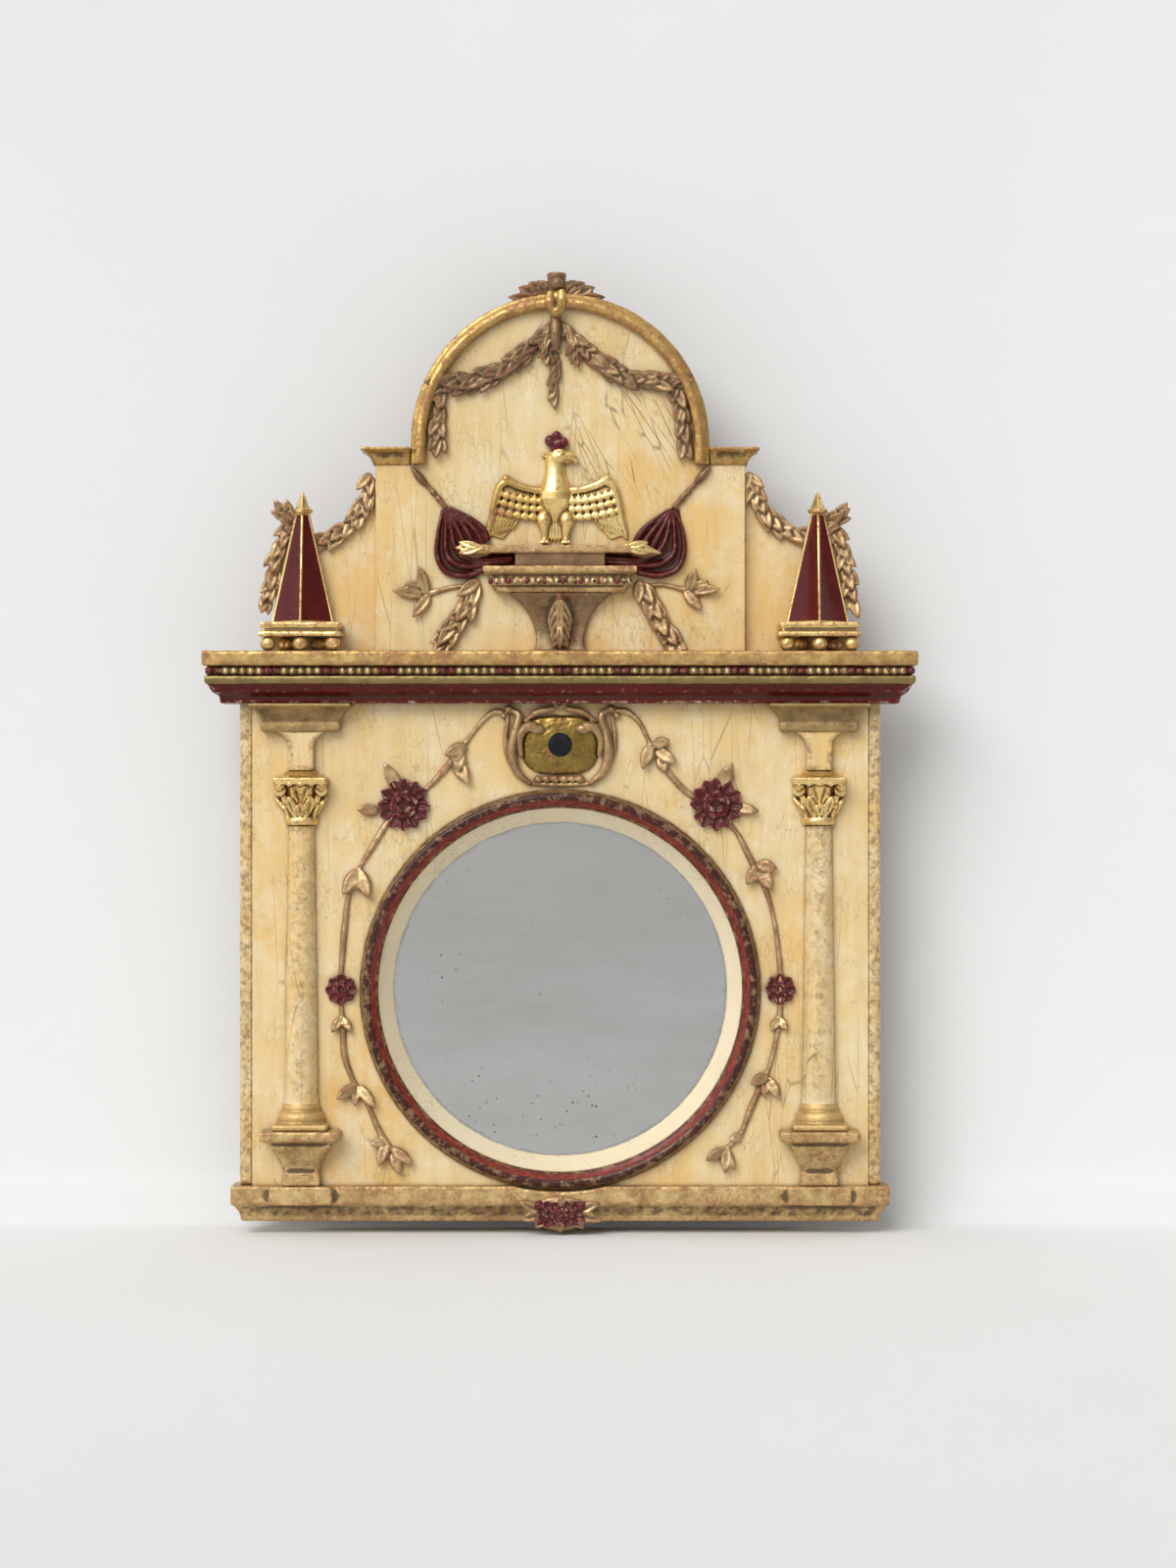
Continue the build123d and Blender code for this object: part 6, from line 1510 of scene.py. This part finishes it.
class MIRROR_OT_flags(bpy.types.Operator):
    """Carves the draped flags and their poles"""
    bl_idname = "mirror.flags"
    bl_label = "Flags"

    folds = {
        "left": (
            ((-81.5, 102), (-85.5, 86), (-86.6, 68), (-80, 56), (-66, 53.5), (-54, 57.5)),
            ((-80.5, 101), (-80.5, 84), (-80.0, 70), (-74, 62), (-62, 60), (-46, 62.5), (-34, 63.5)),
            ((-80, 101), (-76.5, 86), (-74, 74), (-67, 66.5), (-54, 64.5), (-34, 66)),
            ((-79.5, 101), (-73.0, 88), (-69, 79), (-66, 72)),
            ((-79, 101), (-68.5, 89), (-63, 80), (-60, 73)),
            ((-78.5, 101.5), (-65, 91), (-58, 83), (-55, 75)),
            ((-78, 102), (-63, 94), (-54, 86), (-51, 78)),
        ),
        "right": (
            ((80.5, 100), (86, 86), (87.2, 70), (82, 58), (69, 53.5), (54, 56)),
            ((79.5, 100), (80.5, 84), (80, 70), (72, 62.5), (60, 60.5), (44, 62), (30, 63)),
            ((79, 100), (76, 86), (73, 76), (66, 68), (52, 64.5), (30, 66)),
            ((78.5, 100), (72.5, 88), (68, 80), (64, 72)),
            ((78, 100), (68, 89), (62, 81), (57, 74)),
            ((77, 100.5), (64, 91), (57, 84), (53, 77)),
        ),
    }
    poles = {
        "left": ((-80, 101), (-88, 111), (-95, 119)),
        "right": ((80, 101), (88, 111), (96, 119)),
    }
    spears = {"left": (-94, 117, 130), "right": (95, 118, 50)}

    def execute(self, context):
        table = finishes()
        for side, word in SIDES:
            bm = bmesh.new()
            for fold in self.folds[word]:
                count = len(fold)
                line = [at(x, z, ARCH_FACE + 1.6 + 1.2 * math.sin(math.pi * i / (count - 1))) for i,
                        (x, z) in enumerate(fold)]
                add_bar(bm, line, [0.8, 1.7, 2.3, 2.6, 2.3, 1.5][:max(4, count - 1)], 8, flat=1.6)
            sheet = [(79, 102), (84, 100), (87, 84), (87, 66), (78, 54), (64, 53), (53, 57), (32, 59.8),
                     (32, 68.8),
                     (52, 74.5), (60, 84)]
            add_plate(bm, [(side * x, z) for x, z in sheet], ARCH_FACE - 0.5, ARCH_FACE + 1.1)
            carved("draped_flag_" + word, bm, table["flags"], "burgundy_lacquer", ["flag_" + word],
                   face=ARCH_FACE, wobble=0.08)
            bm = bmesh.new()
            add_stem(bm, self.poles[word], ARCH_FACE + 2.2, [2.0, 1.7, 1.6])
            for t in (0.35, 0.62):
                (x1, z1), (x2, z2) = self.poles[word][0], self.poles[word][2]
                add_ball(bm, x1 + t * (x2 - x1), z1 + t * (z2 - z1), ARCH_FACE + 2.2, 2.5)
            x, z, turn = self.spears[word]
            add_leaf(bm, place(x, z, ARCH_FACE + 1.4, turn, 4), 18, 6.4, 3.0, fold=-0.35)
            carved("flag_pole_" + word, bm, table["dark_leaves"], "brown_gilding", face=ARCH_FACE,
                   wobble=0.08)
        return {"FINISHED"}


class MIRROR_OT_cartouche(bpy.types.Operator):
    """Carves the cartouche with its scrolls and sets its dark disc"""
    bl_idname = "mirror.cartouche"
    bl_label = "Cartouche"

    half_width = 27
    half_height = 21
    domes = ((1.0, -0.5), (1.0, 1.6), (0.9, 3.3), (0.7, 4.3), (0.45, 4.9), (0.2, 5.1))
    balls = ((-15.5, 2.9), (-9.5, 2.5), (-3.6, 2.9), (2.6, 2.9), (8.4, 2.5), (14.2, 3.0))

    def execute(self, context):
        table = finishes()
        face = PANEL_FACE
        centre = middle_of("cartouche_disc")
        cx, cz = centre.x, centre.z
        bm = bmesh.new()
        rings = []
        for share, rise in self.domes:
            ring = []
            for a in circle(48):
                across = math.copysign(abs(math.cos(a)) ** 0.62, math.cos(a))
                up = math.copysign(abs(math.sin(a)) ** 0.7, math.sin(a))
                ring.append(at(cx + self.half_width * share * across, cz + self.half_height * share * up,
                               face + rise))
            rings.append(ring)
        skin(bm, rings)
        carved("gilt_shield", bm, table["shield"], "worn_gilding", ["cartouche"], face=face, rounds=2,
               wobble=0.35)

        bm = bmesh.new()
        for side in (-1, 1):
            add_run(bm, (cx, cz, face), side, ((33, 24, 2.5), (29, 20, 3.5), (32.5, 6, 4), (34, -6, 4),
                                               (30, -19, 3.5), (21, -27.5, 2.5)),
                    [2.2, 3.0, 3.4, 3.6, 3.0, 2.0], flat=1.15)
            add_run(bm, (cx, cz, face), side, ((36.5, 19, 2), (38.5, 6, 2), (37, -8, 2), (30, -22, 2)),
                    [1.4, 1.8, 1.8, 1.2])
            add_run(bm, (cx, cz, face), side, ((27.5, -8, 4), (28.5, 4, 5), (24, 12, 5.5), (16.5, 12.5, 5)),
                    [1.6, 2.6, 3.6, 4.2], flat=1.0)
            add_ball(bm, cx + side * 16, cz + 11, face + 5.2, 4.4, (1.2, 0.8, 0.9))
            add_run(bm, (cx, cz, face), side, ((25, 16, 3), (16, 23, 3.6), (4, 25.5, 3.8)), [1.8, 2.4, 2.2],
                    flat=1.1)
            add_ball(bm, cx + side * 36, cz + 25, face + 3, 3.2)
            add_ball(bm, cx + side * 40, cz + 20.5, face + 2.4, 2.4)
            add_leaf(bm, place(cx + side * 3, cz + 26, face + 3, 90 + side * 58, 12), 10, 6, 3, fold=0.6)
        for x, r in self.balls:
            add_ball(bm, cx + x, cz - 24.2, face + 2.6, r, (1.1, 1, 1))
        add_run(bm, (cx, cz, face), 1, ((-21, -27.5, 1.5), (0, -28.3, 1.8), (21, -27.5, 1.5)), [1.5, 1.5], 8)
        carved("scroll_frame", bm, table["leaves"], "worn_gilding", face=face,
               top=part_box("cornice_cavetto")[0].z)
        set_finish("cartouche_disc", table["glass"])
        return {"FINISHED"}


class MIRROR_OT_columns(bpy.types.Operator):
    """Finishes the columns from their brackets to their pedestals"""
    bl_idname = "mirror.columns"
    bl_label = "Columns"

    grid = 0.85
    leaf_rows = ((3, 11, 9.5, 16, 30), (4, 18, 8.8, 24, 0))
    necking = 5.5
    abacus = 10
    impost_bracket = 20.5
    gilt_base = 18.5
    past = 10

    def execute(self, context):
        table = finishes()
        for _, word in SIDES:
            for node, finish, slot, rough in (
                    ("impost_" + word, self.impost_finish(word), "cream_paint", 0.12),
                    ("column_" + word, self.shaft_finish(word), "cream_paint", 0.12),
                    ("pedestal_" + word, table["rail"], "worn_gilding", 0.15)):
                aged(node, "worn_" + node, self.grid * sizes().coarse_voxel, 2, rough, finish)
            aged("capital_" + word, "carved_capital_" + word, sizes().fine_voxel, 1, 0.15, table["bright"],
                 lambda bm, node="capital_" + word: self.foliage(bm, node))
        return {"FINISHED"}

    def foliage(self, bm, node):
        """Two rows of curling leaves, corner scrolls and pearls between them."""
        low, high = (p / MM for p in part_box(node))
        x, face = (low.x + high.x) / 2, PANEL_FACE
        foot, top = low.z + self.necking, high.z - self.abacus
        for count, reach, radius, lean, phase in self.leaf_rows:
            for i in range(count):
                a = math.radians(-78 + phase / 2 + (156 - phase) * i / (count - 1))
                root = Matrix.Translation(at(x + radius * math.sin(a), foot, face + radius * math.cos(a)))
                turn = Matrix.Rotation(a, 4, "Z")
                lay = Matrix(((0, -1, 0, 0), (0, 0, -1, 0), (1, 0, 0, 0), (0, 0, 0, 1)))
                lean_out = Matrix.Rotation(math.radians(-lean), 4, "Y")
                add_leaf(bm, root @ turn @ lay @ lean_out, reach, 8.4, 3.6, fold=0.5, curl=3.0, blunt=0.6)
        for side in (-1, 1):
            for depth in (2.0, 11.0):
                add_ball(bm, x + side * 14.5, top - 1, face + depth, 3.6, (1, 0.8, 1))
                add_ball(bm, x + side * 14.8, top - 1, face + depth + 2.6, 1.4)
        for i in range(3):
            add_ball(bm, x + 7.5 * (i - 1), top + 0.5, face + 13.0, 2.3)

    def impost_finish(self, word):
        """Brown gilding on the bracket under the cornice, cream below it."""
        material = cream_paint("Impost " + word, 0.3, 0.7, open_edge=0.3)
        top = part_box("impost_" + word)[1].z
        paint_band(material, top - self.impost_bracket * MM, top + self.past * MM,
                   (0.13, 0.075, 0.032), (0.42, 0.28, 0.11), 0.5)
        return material

    def shaft_finish(self, word):
        """Cream, with gilding left on the base."""
        material = cream_paint("Shaft " + word, 0.5, 0.9, open_edge=0.3)
        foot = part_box("column_" + word)[0].z
        paint_band(material, foot - self.past * MM, foot + self.gilt_base * MM,
                   (0.46, 0.28, 0.09), (0.66, 0.46, 0.2), 0.5)
        return material


class MIRROR_OT_crest(bpy.types.Operator):
    """Carves the crest: toothed leaves, the cup with its ball, and the clasp"""
    bl_idname = "mirror.crest"
    bl_label = "Crest"

    axis_x = -2.5
    fan = ((14, 72, 10), (18, 50, 11), (22, 34, 11), (27, 19, 10), (33, 3, 8), (28, -14, 6))
    bed = ((-30, -8), (-28, 0), (-18, 5), (0, 8), (18, 5), (30, -1), (32, -9), (15, -3), (0, -2), (-15, -3))
    cup = ((1, 5.0), (4, 5.6), (10, 6.6), (13.2, 6.9), (14.6, 6.0))

    def execute(self, context):
        table = finishes()
        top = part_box("arch_moulding")[1].z / MM
        face = ARCH_FACE
        bm = bmesh.new()
        x = self.axis_x
        for side in (-1, 1):
            for reach, turn, width in self.fan:
                add_leaf(bm, place(x + side * 2, top - 4, face - 1, 90 - side * (90 - turn), 3), reach, width,
                         4.2, fold=0.6, blunt=0.5)
        add_plate(bm, [(x + px, top + pz) for px, pz in self.bed], face - 5, face + 1.0)
        carved("crest_leaves", bm, table["dark_leaves"], "brown_gilding", ["crest_ornament"], wobble=0.12)

        bm = bmesh.new()
        add_lathe(bm, x, [top + z for z, r in self.cup], [r for z, r in self.cup], face + 1.5, 0.75)
        add_ball(bm, x + 0.4, top + 6.4, face + 7.5, 4.6)
        carved("crest_cup", bm, table["brown"], "brown_gilding")

        bm = bmesh.new()
        add_run(bm, (x, top, face), 1, ((-4.2, 0.5, 9), (-5, -7, 10.5), (-1.5, -14, 9)),
                [2.2, 3.8, 2.6])
        add_run(bm, (x, top, face), 1, ((3.2, 1.5, 9), (4, -6, 10.5), (1.6, -14, 9)),
                [2.6, 4.0, 3.0])
        add_ball(bm, x, top - 13.4, face + 8.6, 4.6, (1, 0.9, 1))
        add_ball(bm, x, top - 5, face + 6.5, 6.6, (1, 0.8, 1.1))
        carved("crest_clasp", bm, table["arch"], "worn_gilding")
        return {"FINISHED"}


class MIRROR_OT_console(bpy.types.Operator):
    """Finishes the console, its beads and leaf, and the eagle's plinth"""
    bl_idname = "mirror.console"
    bl_label = "Console"

    grid = 0.8
    plinth_grid = 0.7
    bead_count = 24
    bead_level = 0.42
    end_gap = 5.5
    plinth_block = 9.3
    tips = ((-1, -75), (1, 66))
    tip_leaves = ((-22, -2.6, 0, 21, 7.0), (-18, -2.0, 13, 15, 6), (-18, -3.6, -12, 15, 6))
    fan = (270 - 26, 270 + 26, 270)

    def execute(self, context):
        table = finishes()
        aged("console_shelf", "aged_console_shelf", self.grid * sizes().coarse_voxel, 1, 0.2, table["rail"])
        low, high = (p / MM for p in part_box("console_shelf"))
        level = low.z + self.bead_level * (high.z - low.z)
        first, span, steps = low.x + self.end_gap, high.x - low.x - 2 * self.end_gap, self.bead_count - 1
        bm = bmesh.new()
        for i in range(self.bead_count):
            x = first + span * i / steps
            add_ball(bm, x, level, front_at("console_shelf", x, level) + 0.2, 2.1, (0.9, 0.8, 1.15), 2)
        beads = new_piece("console_beads", bm)
        finish_piece(beads, self.console_beads(span / steps, first), [])
        aged("console_bracket", "aged_console_bracket", self.grid * sizes().coarse_voxel, 2, 0.25,
             table["brown"])
        aged("eagle_plinth", "aged_eagle_plinth", self.plinth_grid * sizes().coarse_voxel, 1, 0.2,
             self.plinth_finish(high.z))

        bm = bmesh.new()
        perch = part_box("eagle_plinth")[1].z / MM
        for side, tip in self.tips:
            for dx, dz, turn, reach, width in self.tip_leaves:
                add_leaf(bm, place(tip + side * dx, perch + dz, depth_of("eagle_plinth") - 2.5,
                                   90 - side * (90 - turn), -6),
                         reach, width, 3.4, fold=0.5, curl=0.6)
        carved("slab_leaf_tips", bm, table["bright"], "worn_gilding", face=ARCH_FACE, wobble=0.12)

        bm = bmesh.new()
        centre = middle_of("console_bracket")
        base, crown = (p.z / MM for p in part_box("console_bracket"))
        for k, t in enumerate((0.62, 0.42, 0.24, 0.08)):
            z = crown - 2 - (crown - base) * t
            out = front_at("console_bracket", centre.x, z - 5)
            for turn in self.fan:
                add_leaf(bm, place(centre.x, z, out + 0.6, turn, -9), 14 + 2 * k, 5.6 + 0.4 * k, 3.2,
                         fold=0.5, curl=0.6)
        add_leaf(bm, place(centre.x, base + 16, front_at("console_bracket", centre.x, base + 8) + 1, 270, 0),
                 14, 6, 3)
        carved("console_leaf", bm, table["leaves"], "brown_gilding", wobble=0.12)
        return {"FINISHED"}

    def console_beads(self, pitch, first):
        """One bead in three is burgundy."""
        c = colours()
        f = Finish("Console beads")
        number = f.calc("ROUND", f.calc("DIVIDE", f.less(f.axes(f.place)["X"], first * MM), pitch * MM))
        dark = f.calc("LESS_THAN", f.calc("MODULO", f.plus(number, 0.1), 3.0), 1.0)
        colour = f.blend(dark, *CONSOLE_BEADS)
        colour = f.blend(f.step(f.cloud(300, 3), 0.5, 0.65), colour, c.umber)
        return f.done(colour, 0.35, f.times(f.less(1.0, dark), 0.5))

    def plinth_finish(self, foot):
        """A brown block under a gilt slab."""
        material = gilding("Plinth gilding", (0.62, 0.42, 0.17), (0.32, 0.2, 0.07), 0.4, 0.7, 0.1, 0.6)
        paint_band(material, foot * MM, (foot + self.plinth_block) * MM,
                   (0.15, 0.075, 0.035), (0.30, 0.17, 0.08), 0.2)
        return material


class MIRROR_OT_obelisks(bpy.types.Operator):
    """Lacquers the obelisks between gilt borders and gilds their slabs and feet"""
    bl_idname = "mirror.obelisks"
    bl_label = "Obelisks"

    slab_grid = 0.75
    feet_grid = 0.65
    border = 1.8
    sunk = 0.8
    step = 0.4
    worn_edge = 0.4
    tip_height = 15
    neck_half = 5.2
    ridge_loss = 0.76
    tip_half = 5.6
    tip_rings = ((-0.5, 1.25), (2.2, 1.3), (3.0, 0.95), (8, 0.6))

    def execute(self, context):
        table = finishes()
        for _, word in SIDES:
            aged("obelisk_slab_" + word, "gilt_slab_" + word, self.slab_grid * sizes().coarse_voxel, 1, 0.2,
                 table["bright"])
            obelisk = self.obelisk(word, table)
            finish_piece(obelisk, None, ["obelisk_" + word])
        aged("obelisk_feet", "gilt_feet", self.feet_grid * sizes().coarse_voxel, 1, 0.12, table["bright"])
        return {"FINISHED"}

    def obelisk(self, word, table):
        """Two sloping faces with sunk lacquered panels between gilt strips, and a gilt tip."""
        low, high = (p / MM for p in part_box("obelisk_" + word))
        x = (low.x + high.x) / 2
        back, ridge = -high.y, -low.y
        foot, tip = low.z, high.z
        neck = tip - self.tip_height
        half = (high.x - low.x) / 2
        bm = bmesh.new()

        def corner(side, z):
            t = (z - foot) / (neck - foot)
            return at(x + side * (half - (half - self.neck_half) * t), z, back)

        def spine(z):
            t = (z - foot) / (neck - foot)
            return at(x, z, back + (ridge - back) * (1 - self.ridge_loss * t))

        for side in (-1, 1):
            outer = [corner(side, foot), spine(foot), spine(neck), corner(side, neck)]
            if side > 0:
                outer.reverse()
            bm.faces.new([bm.verts.new(p) for p in outer])
        for points in (
                (corner(1, foot), corner(1, neck), corner(-1, neck), corner(-1, foot)),
                (corner(-1, foot), corner(1, foot), spine(foot)),
                (corner(1, neck), corner(-1, neck), spine(neck))):
            bm.faces.new([bm.verts.new(p) for p in points])
        bmesh.ops.remove_doubles(bm, verts=bm.verts, dist=0.00001)
        bmesh.ops.recalc_face_normals(bm, faces=bm.faces)
        lacquer_faces = [face for face in bm.faces if face.normal.y < -0.2 and abs(face.normal.z) < 0.6]
        bmesh.ops.inset_individual(bm, faces=lacquer_faces, thickness=self.border * MM, depth=0)
        bmesh.ops.inset_individual(bm, faces=lacquer_faces, thickness=self.step * MM, depth=-self.sunk * MM)
        for face in lacquer_faces:
            face.material_index = 1
        rings = []
        for rise, share in (*self.tip_rings, (self.tip_height - 0.6, 0.2)):
            z, w = neck + rise, self.tip_half * share
            rings.append([at(x - w, z, back), at(x, z, back + 1.25 * w), at(x + w, z, back)])
        skin(bm, rings)
        bmesh.ops.recalc_face_normals(bm, faces=bm.faces)
        piece = new_piece("lacquered_obelisk_" + word, bm)
        piece.data.materials.append(table["bright"])
        piece.data.materials.append(table["burgundy"])
        bevel = piece.modifiers.new("Worn edges", "BEVEL")
        bevel.width = self.worn_edge * MM
        bevel.segments = 2
        piece.data = evaluated_mesh(piece)
        return piece


class MIRROR_OT_roses(bpy.types.Operator):
    """Carves the roses and leaves on the base rail"""
    bl_idname = "mirror.roses"
    bl_label = "Base roses"

    seed = 11
    set_in = 3.0
    centre_rise = 15.0
    leaves = ((-9, 158, 22), (-9, 192, 20), (-7, 225, 15), (9, 22, 21), (9, -14, 22), (7, -48, 15),
              (0, 90, 13), (0, 270, 14))
    roses = ((-7.5, 0), (6.5, 0.5))
    buds = ((-15, 6), (15, 6), (-15, -5), (14.5, -5))

    def execute(self, context):
        table = finishes()
        face = depth_of("base_rail") - self.set_in
        z = (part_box("base_roses")[0] / MM).z + self.centre_rise
        chance = random.Random(self.seed)
        bm = bmesh.new()
        for px, turn, reach in self.leaves:
            add_leaf(bm, place(px, z, face + 0.5, turn, 4), reach, 9, 3.4, fold=0.6, curl=0.8)
        add_ball(bm, 0, z, face + 1, 13, (1.5, 0.22, 0.95))
        carved("rose_leaves", bm, table["leaves"], "brown_gilding", ["base_roses"], face=face, sunk=0.6)
        bm = bmesh.new()
        for px, pz in self.roses:
            add_flower(bm, px, z + pz, face + 1.0, 9.5, 7, chance)
        for px, pz in self.buds:
            add_ball(bm, px, z + pz, face + 2.5, 3.4)
        carved("base_rose_blooms", bm, table["petals"], "burgundy_lacquer", face=face, sunk=0.6)
        return {"FINISHED"}


PIECES = (
    MIRROR_OT_stage, MIRROR_OT_boards, MIRROR_OT_mouldings, MIRROR_OT_beads, MIRROR_OT_plate,
    MIRROR_OT_garlands, MIRROR_OT_vines, MIRROR_OT_eagle, MIRROR_OT_flags, MIRROR_OT_cartouche,
    MIRROR_OT_columns, MIRROR_OT_crest, MIRROR_OT_console, MIRROR_OT_obelisks, MIRROR_OT_roses,
)


class MIRROR_PT_panel(bpy.types.Panel):
    """Lists the pieces of the mirror and the values that they follow"""
    bl_idname = "MIRROR_PT_panel"
    bl_label = "Giltwood mirror"
    bl_space_type = "VIEW_3D"
    bl_region_type = "UI"
    bl_category = "Giltwood mirror"

    def draw(self, context):
        for group in (context.scene.mirror_sizes, context.scene.mirror_colours):
            box = self.layout.box()
            for name in group.bl_rna.properties.keys():
                if name not in ("rna_type", "name"):
                    box.prop(group, name)
        for piece in PIECES:
            self.layout.operator(piece.bl_idname)


CLASSES = (MirrorSizes, MirrorColours, *PIECES, MIRROR_PT_panel)


def register():
    for item in CLASSES:
        bpy.utils.register_class(item)
    bpy.types.Scene.mirror_sizes = bpy.props.PointerProperty(type=MirrorSizes)
    bpy.types.Scene.mirror_colours = bpy.props.PointerProperty(type=MirrorColours)


def unregister():
    del bpy.types.Scene.mirror_colours
    del bpy.types.Scene.mirror_sizes
    for item in reversed(CLASSES):
        bpy.utils.unregister_class(item)


def main():
    register()
    bpy.context.scene.view_settings.view_transform = "Standard"
    for piece in PIECES:
        group, name = piece.bl_idname.split(".")
        getattr(getattr(bpy.ops, group), name)()


if __name__ == "__main__":
    main()
